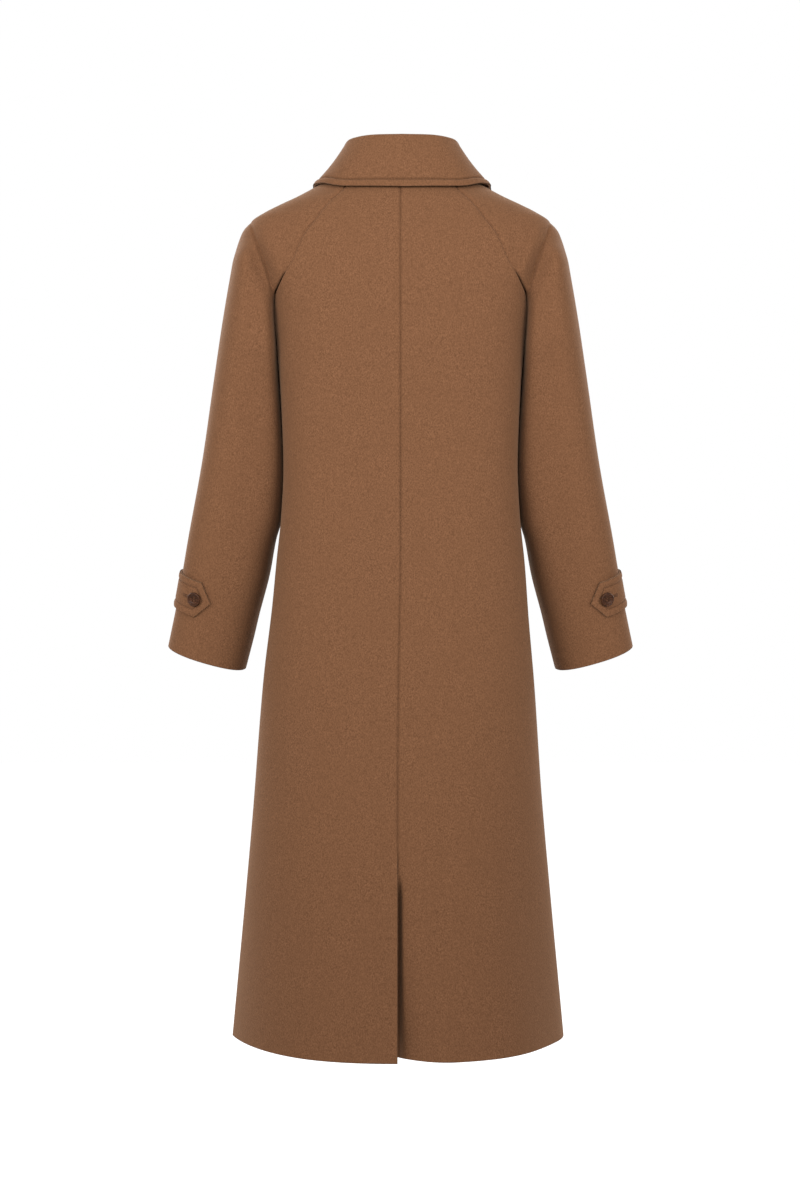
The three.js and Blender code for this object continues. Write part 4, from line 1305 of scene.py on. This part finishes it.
@dataclass(frozen=True)
class Button:
    """A round dished button with a rim and four holes, and the thread that holds it."""

    name: str
    radius: float
    thick: float
    segments: int = 72
    hole_at: float = 0.19
    hole_size: float = 0.1
    dish: float = 0.55

    def build(self, finishes: Finishes, place: Array) -> list[bpy.types.Object]:
        """Turns the button, bores it and sews it on.

        Args:
            finishes: the materials.
            place: the matrix from its back's middle to the coat, in millimetres.

        Returns:
            The button and its thread.
        """
        shape = np.array(BUTTON_PROFILE) * [self.radius, self.thick]
        verts = [[0, 0, shape[0, 1]]]
        turns = np.radians(np.arange(self.segments) * 360 / self.segments)
        for r, h in shape[1:-1]:
            verts += [[r * math.cos(t), r * math.sin(t), h] for t in turns]
        verts.append([0, 0, shape[-1, 1]])
        count, rings, last = self.segments, len(shape) - 2, len(verts) - 1
        faces = [[0, 1 + (k + 1) % count, 1 + k] for k in range(count)]
        for ring in range(rings - 1):
            a, b = 1 + ring * count, 1 + (ring + 1) * count
            faces += [[a + k, a + (k + 1) % count, b + (k + 1) % count, b + k] for k in range(count)]
        a = 1 + (rings - 1) * count
        faces += [[a + k, a + (k + 1) % count, last] for k in range(count)]
        obj = make_mesh(self.name, np.array(verts), faces)
        self.bore(obj)
        dress_at(obj, place)
        dress(obj, finishes.horn, self.name)
        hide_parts(self.name)
        d, top = self.radius * self.hole_at, self.thick * self.dish
        ends = np.array([[[-d, s * d, top + 0.2], [d, s * d, top + 0.2]] for s in (1, -1)])
        posts = np.array([[[x, y, top + 0.2], [x, y, -0.4]] for x in (-d, d) for y in (-d, d)])
        thread = capsules(f"{self.name}_thread", np.concatenate([ends, ends + [0, 0.25, 0.1], posts]),
                          np.array([[0, 0, 1.0]] * 4 + [[0, 1.0, 0]] * 4), 0.42)
        dress_at(thread, place)
        dress(thread, finishes.thread, self.name)
        return [obj, thread]

    def bore(self, obj: bpy.types.Object) -> None:
        """Cuts the four holes through the button."""
        d, r, sides = self.radius * self.hole_at, self.radius * self.hole_size, 20
        for x, y in ((d, d), (d, -d), (-d, d), (-d, -d)):
            turns = np.radians(np.arange(sides) * 360 / sides)
            ring = [[x + r * math.cos(t), y + r * math.sin(t)] for t in turns]
            verts = np.array([[*v, -1.0] for v in ring] + [[*v, self.thick * 2] for v in ring])
            faces = [list(reversed(range(sides))), list(range(sides, 2 * sides))]
            faces += [[k, (k + 1) % sides, sides + (k + 1) % sides, sides + k] for k in range(sides)]
            tool = make_mesh("bore_tool", verts, faces)
            cut = obj.modifiers.new("bore", "BOOLEAN")
            cut.object, cut.operation, cut.solver = tool, "DIFFERENCE", "EXACT"
            bpy.context.view_layer.update()
            mesh = bpy.data.meshes.new_from_object(obj.evaluated_get(bpy.context.evaluated_depsgraph_get()))
            obj.modifiers.clear()
            obj.data = mesh
            bpy.data.objects.remove(tool)
        obj.data.shade_smooth()
        obj.data.set_sharp_from_angle(angle=math.radians(40))


def dress_at(obj: bpy.types.Object, place: Array) -> None:
    """Moves a mesh's points by a matrix that is in millimetres."""
    coords = np.empty(len(obj.data.vertices) * 3)
    obj.data.vertices.foreach_get("co", coords)
    p = coords.reshape(-1, 3) @ place[:3, :3].T + place[:3, 3] * MM
    obj.data.vertices.foreach_set("co", p.ravel())
    obj.data.update()


def placing(at: Array, normal: Array, upward: Array, lift: float) -> Array:
    """The matrix that stands something on a surface.

    Args:
        at: the point on the surface.
        normal: its outward direction.
        upward: roughly which way up is.
        lift: how far off the surface it sits.

    Returns:
        A 4 by 4 matrix in millimetres.
    """
    z = unit(normal)
    x = unit(np.cross(upward, z))
    m = np.eye(4)
    m[:3, 0], m[:3, 1], m[:3, 2], m[:3, 3] = x, np.cross(z, x), z, at + z * lift
    return m


@dataclass(frozen=True)
class SleeveTab:
    """The pointed tab on a sleeve, stitched round its edge and buttoned."""

    side: Side
    level: float = -590.0
    half: float = 24.0
    start: float = -0.3
    shoulder: float = 0.335
    tip: float = 0.43
    button: float = 0.314
    cloth: float = 3.2
    lift: float = 0.8
    stitch_at: float = 9.5
    stitch_sunk: float = 0.7
    puff: float = 0.7
    groove: float = 1.0
    slot_from: float = 1.0
    slot_to: float = -18.0
    button_lift: float = 0.4
    button_radius: float = 9.6
    button_thick: float = 4.4

    def surface(self, q: Array, across: Array) -> tuple[Array, Array]:
        """The sleeve's surface under the tab.

        Args:
            q: rows by columns of shares round the sleeve.
            across: how far each row lies from the tab's middle, from -1 to 1.

        Returns:
            Points and outward directions on the wearer's left.
        """
        step = 0.4
        rows = [sleeve_points(q[i], self.level - a * self.half) for i, a in enumerate(across)]
        below = [sleeve_points(q[i], self.level - a * self.half - step) for i, a in enumerate(across)]
        p = np.array(rows)
        n = unit(np.cross(np.array(below) - p, np.gradient(p, axis=1)))
        centre = np.array([p[..., 0].mean() - 30, p[..., 1].mean() - 10, 0])
        way = p - centre
        way[..., 2] = 0
        return p, np.where(np.sum(n * way, axis=-1, keepdims=True) < 0, -n, n)

    def spot(self, q: float, across: float) -> tuple[Array, Array]:
        """One point of the sleeve's surface under the tab, and its outward direction."""
        p, n = self.surface(np.array([[q - 0.004, q, q + 0.004]] * 2), np.array([across, across + 0.02]))
        return p[0, 1], n[0, 1]

    def build(self, finishes: Finishes) -> list[bpy.types.Object]:
        """Builds the tab, its stitches, buttonhole and button.

        Args:
            finishes: the materials.

        Returns:
            The pieces.
        """
        h = self.half
        near = np.array([0, 0.35, 0.9, 1.7, 3, 4.6, 6.4, 8, 8.8, 9.5, 10.2, 11, 12.5])
        across = np.concatenate([-1 + near / h, np.linspace(-0.42, 0.42, 15), 1 - near[::-1] / h])
        tips = self.tip + (self.shoulder - self.tip) * np.abs(across)
        middle_line = sleeve_points(np.linspace(self.start, self.tip, 90), self.level)
        length = float(np.linalg.norm(np.diff(middle_line, axis=0), axis=1).sum())
        span = self.tip - self.start
        mm = near / length
        share = np.concatenate([mm, np.linspace(13.5 / length, 1 - 13.5 / length, 74), 1 - mm[::-1]])
        q = self.start + (tips - self.start)[:, None] * share[None, :]
        p, n = self.surface(q, across)
        u, v = (q - self.start) / span * length, (across * h)[:, None] + 0 * q
        slope = (self.tip - self.shoulder) / span * length / h
        to_tip = (length - slope * np.abs(v) - u) / math.hypot(1, slope)
        away = np.minimum(np.minimum(h - np.abs(v), u), to_tip)
        swell = stitched_relief(away, self.stitch_at, self.puff, self.groove)
        top = relief(p, n, self.cloth + self.lift + swell)
        name = f"tab_{self.side.word}"
        shell = Shell(mirror(top, self.side), mirror(n, self.side), np.full(top.shape[:2], self.cloth),
                      free=("start", "end", "top", "bottom"))
        obj = dress(shell.build(name), finishes.wool, name)
        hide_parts(name)
        sleeve = f"sleeve_{self.side.word}"
        declare_cloth(obj, np.swapaxes(top, 0, 1), None, [f"{sleeve}_back", f"{sleeve}_front"])
        corners = self.inset(length, span, slope)
        path, normals = self.on_tab(corners, length, span, self.cloth + self.lift - self.stitch_sunk)
        row = dress(stitch_row(f"{name}_stitches", path, normals), finishes.thread, name)
        middle = (self.button - self.start) / span * length
        slot = np.array([[middle + self.slot_from, 0], [middle + self.slot_to, 0]])
        slot, up = self.on_tab(slot, length, span, self.cloth + self.lift + 0.1)
        hole = dress(buttonhole(f"{name}_buttonhole", slot, up), finishes.thread, name)
        seat, facing = self.spot(self.button, 0.0)
        place = placing(mirror(seat, self.side), mirror(facing, self.side), np.array([0, 0, 1.0]),
                        self.cloth + self.lift + self.button_lift)
        button = Button(f"tab_button_{self.side.word}", self.button_radius, self.button_thick)
        return [obj, row, hole] + button.build(finishes, place)

    def inset(self, length: float, span: float, slope: float) -> Array:
        """The corners of the stitch line, along and across the tab in millimetres."""
        d, h = self.stitch_at, self.half
        lean = math.hypot(1, slope)
        corner = length - slope * (h - d) - d * lean
        tip = length - d * lean
        v = h - d
        return np.array([[d, -v], [corner, -v], [tip, 0], [corner, v], [d, v], [d, -v]])

    def on_tab(self, corners: Array, length: float, span: float, lift: float) -> tuple[Array, Array]:
        """Lays a line of straight runs on the tab.

        Args:
            corners: the line's corners, along and across the tab.
            length: the tab's length along its middle.
            span: the share of the sleeve's row that it covers.
            lift: how far off the sleeve the line lies.

        Returns:
            Points and outward directions on the tab's own side.
        """
        share = np.linspace(0, 1, 40)[:-1, None]
        runs = [a + (b - a) * share for a, b in zip(corners[:-1], corners[1:])]
        points, normals = [], []
        for u, v in np.concatenate(runs + [corners[-1:]]):
            p, n = self.spot(self.start + u / length * span, v / self.half)
            points.append(p + n * lift)
            normals.append(n)
        return mirror(np.array(points), self.side), mirror(np.array(normals), self.side)


@dataclass(frozen=True)
class FrontClosure:
    """The four buttons down the front and their buttonholes."""

    levels: tuple[float, ...] = (-118, -250, -382, -514)
    radius: float = 12.5
    thick: float = 4.8
    lift: float = 0.75

    def build(self, finishes: Finishes) -> list[bpy.types.Object]:
        """Sews the buttons on and works the buttonholes.

        Args:
            finishes: the materials.

        Returns:
            The pieces.
        """
        pieces = []
        for i, level in enumerate(self.levels, start=1):
            at, normal = torso_point(-90, level), torso_normal(-90, level)
            button = Button(f"front_button_{i}", self.radius, self.thick)
            pieces += button.build(finishes, placing(at, normal, np.array([0, 0, 1.0]), self.lift))
            xs = np.linspace(-2, 24, 24)
            turn = -turn_at(np.abs(xs), level)
            path = torso_point(turn, level) * np.stack([np.sign(xs), xs * 0 + 1, xs * 0 + 1], axis=-1)
            normals = np.array([torso_normal(float(t), level) for t in turn])
            hole = buttonhole(f"front_buttonhole_{i}", path + normals * 0.15, normals)
            pieces.append(dress(hole, finishes.thread, "front_left"))
        return pieces


AIM_SHARE, AIM_LEVEL = 0.38, 0.2


@dataclass(frozen=True)
class Light:
    """A soft square light: where it hangs, its side in metres and its power in watts."""

    name: str
    at: tuple[float, float, float]
    size: float
    watts: float
    spread: float = 70.0

    def build(self) -> None:
        """Hangs the light, turned toward the coat."""
        data = bpy.data.lights.new(self.name, "AREA")
        data.shape, data.size, data.energy = "SQUARE", self.size, self.watts
        data.spread = math.radians(self.spread)
        lamp = bpy.data.objects.new(self.name, data)
        lamp.location = self.at
        aim = Vector((AIM_SHARE * self.at[0], 0, AIM_LEVEL))
        lamp.rotation_euler = (aim - Vector(self.at)).to_track_quat("-Z", "Y").to_euler()
        bpy.context.scene.collection.objects.link(lamp)


LIGHTS = (
    Light("left", (2.1, 2.6, 0.5), 1.8, 25), Light("right", (-2.1, 2.6, 0.5), 1.8, 20),
    Light("behind", (0.1, 3.1, 0.7), 2.0, 12.5), Light("front_left", (2.1, -3.0, 1.2), 2.2, 34),
    Light("front_right", (-2.1, -3.0, 1.2), 2.2, 26),
)


@dataclass(frozen=True)
class Studio:
    """A pale floor, soft light and the camera."""

    floor_level: float = -1.46
    floor_size: float = 9.0
    camera_at: tuple[float, float, float] = (0.0007, 3.0, -0.578)
    lens: float = 66.67
    sensor: float = 36.0

    def build(self) -> None:
        """Lays the floor, lights the scene and places the camera."""
        s, z = self.floor_size, self.floor_level
        mesh = bpy.data.meshes.new("studio_floor")
        mesh.from_pydata([(-s, -s, z), (s, -s, z), (s, s, z), (-s, s, z)], [], [(0, 1, 2, 3)])
        floor = bpy.data.objects.new("studio_floor", mesh)
        bpy.context.scene.collection.objects.link(floor)
        mesh.materials.append(Paper().build())
        world = bpy.data.worlds.new("studio")
        world.use_nodes = True
        world.node_tree.nodes["Background"].inputs["Color"].default_value = (1, 1, 1, 1)
        world.node_tree.nodes["Background"].inputs["Strength"].default_value = 1.0
        bpy.context.scene.world = world
        for light in LIGHTS:
            light.build()
        camera = bpy.data.cameras.new("camera")
        camera.lens, camera.sensor_width = self.lens, self.sensor
        eye = bpy.data.objects.new("camera", camera)
        eye.location = self.camera_at
        eye.rotation_euler = (math.pi / 2, 0, math.pi)
        bpy.context.scene.collection.objects.link(eye)
        bpy.context.scene.camera = eye
        bpy.context.scene.view_settings.view_transform = "Standard"


def main() -> None:
    """Builds the coat piece by piece, then the studio."""
    logging.basicConfig(level=logging.INFO, format="%(message)s")
    finishes = Finishes(Wool().build(), Horn().build(), Thread().build())
    pieces: list[bpy.types.Object] = []
    for side in Side:
        for face in Face:
            pieces.append(BodyPanel(side, face).build(finishes))
            pieces.append(SleevePanel(side, face).build(finishes))
        pieces += SleeveTab(side).build(finishes)
    pieces += Collar().build(finishes)
    pieces += FrontClosure().build(finishes)
    for obj in pieces:
        log.info("%s: %d triangles", obj.name, sum(len(p.vertices) - 2 for p in obj.data.polygons))
    Studio().build()


if __name__ == "__main__":
    main()
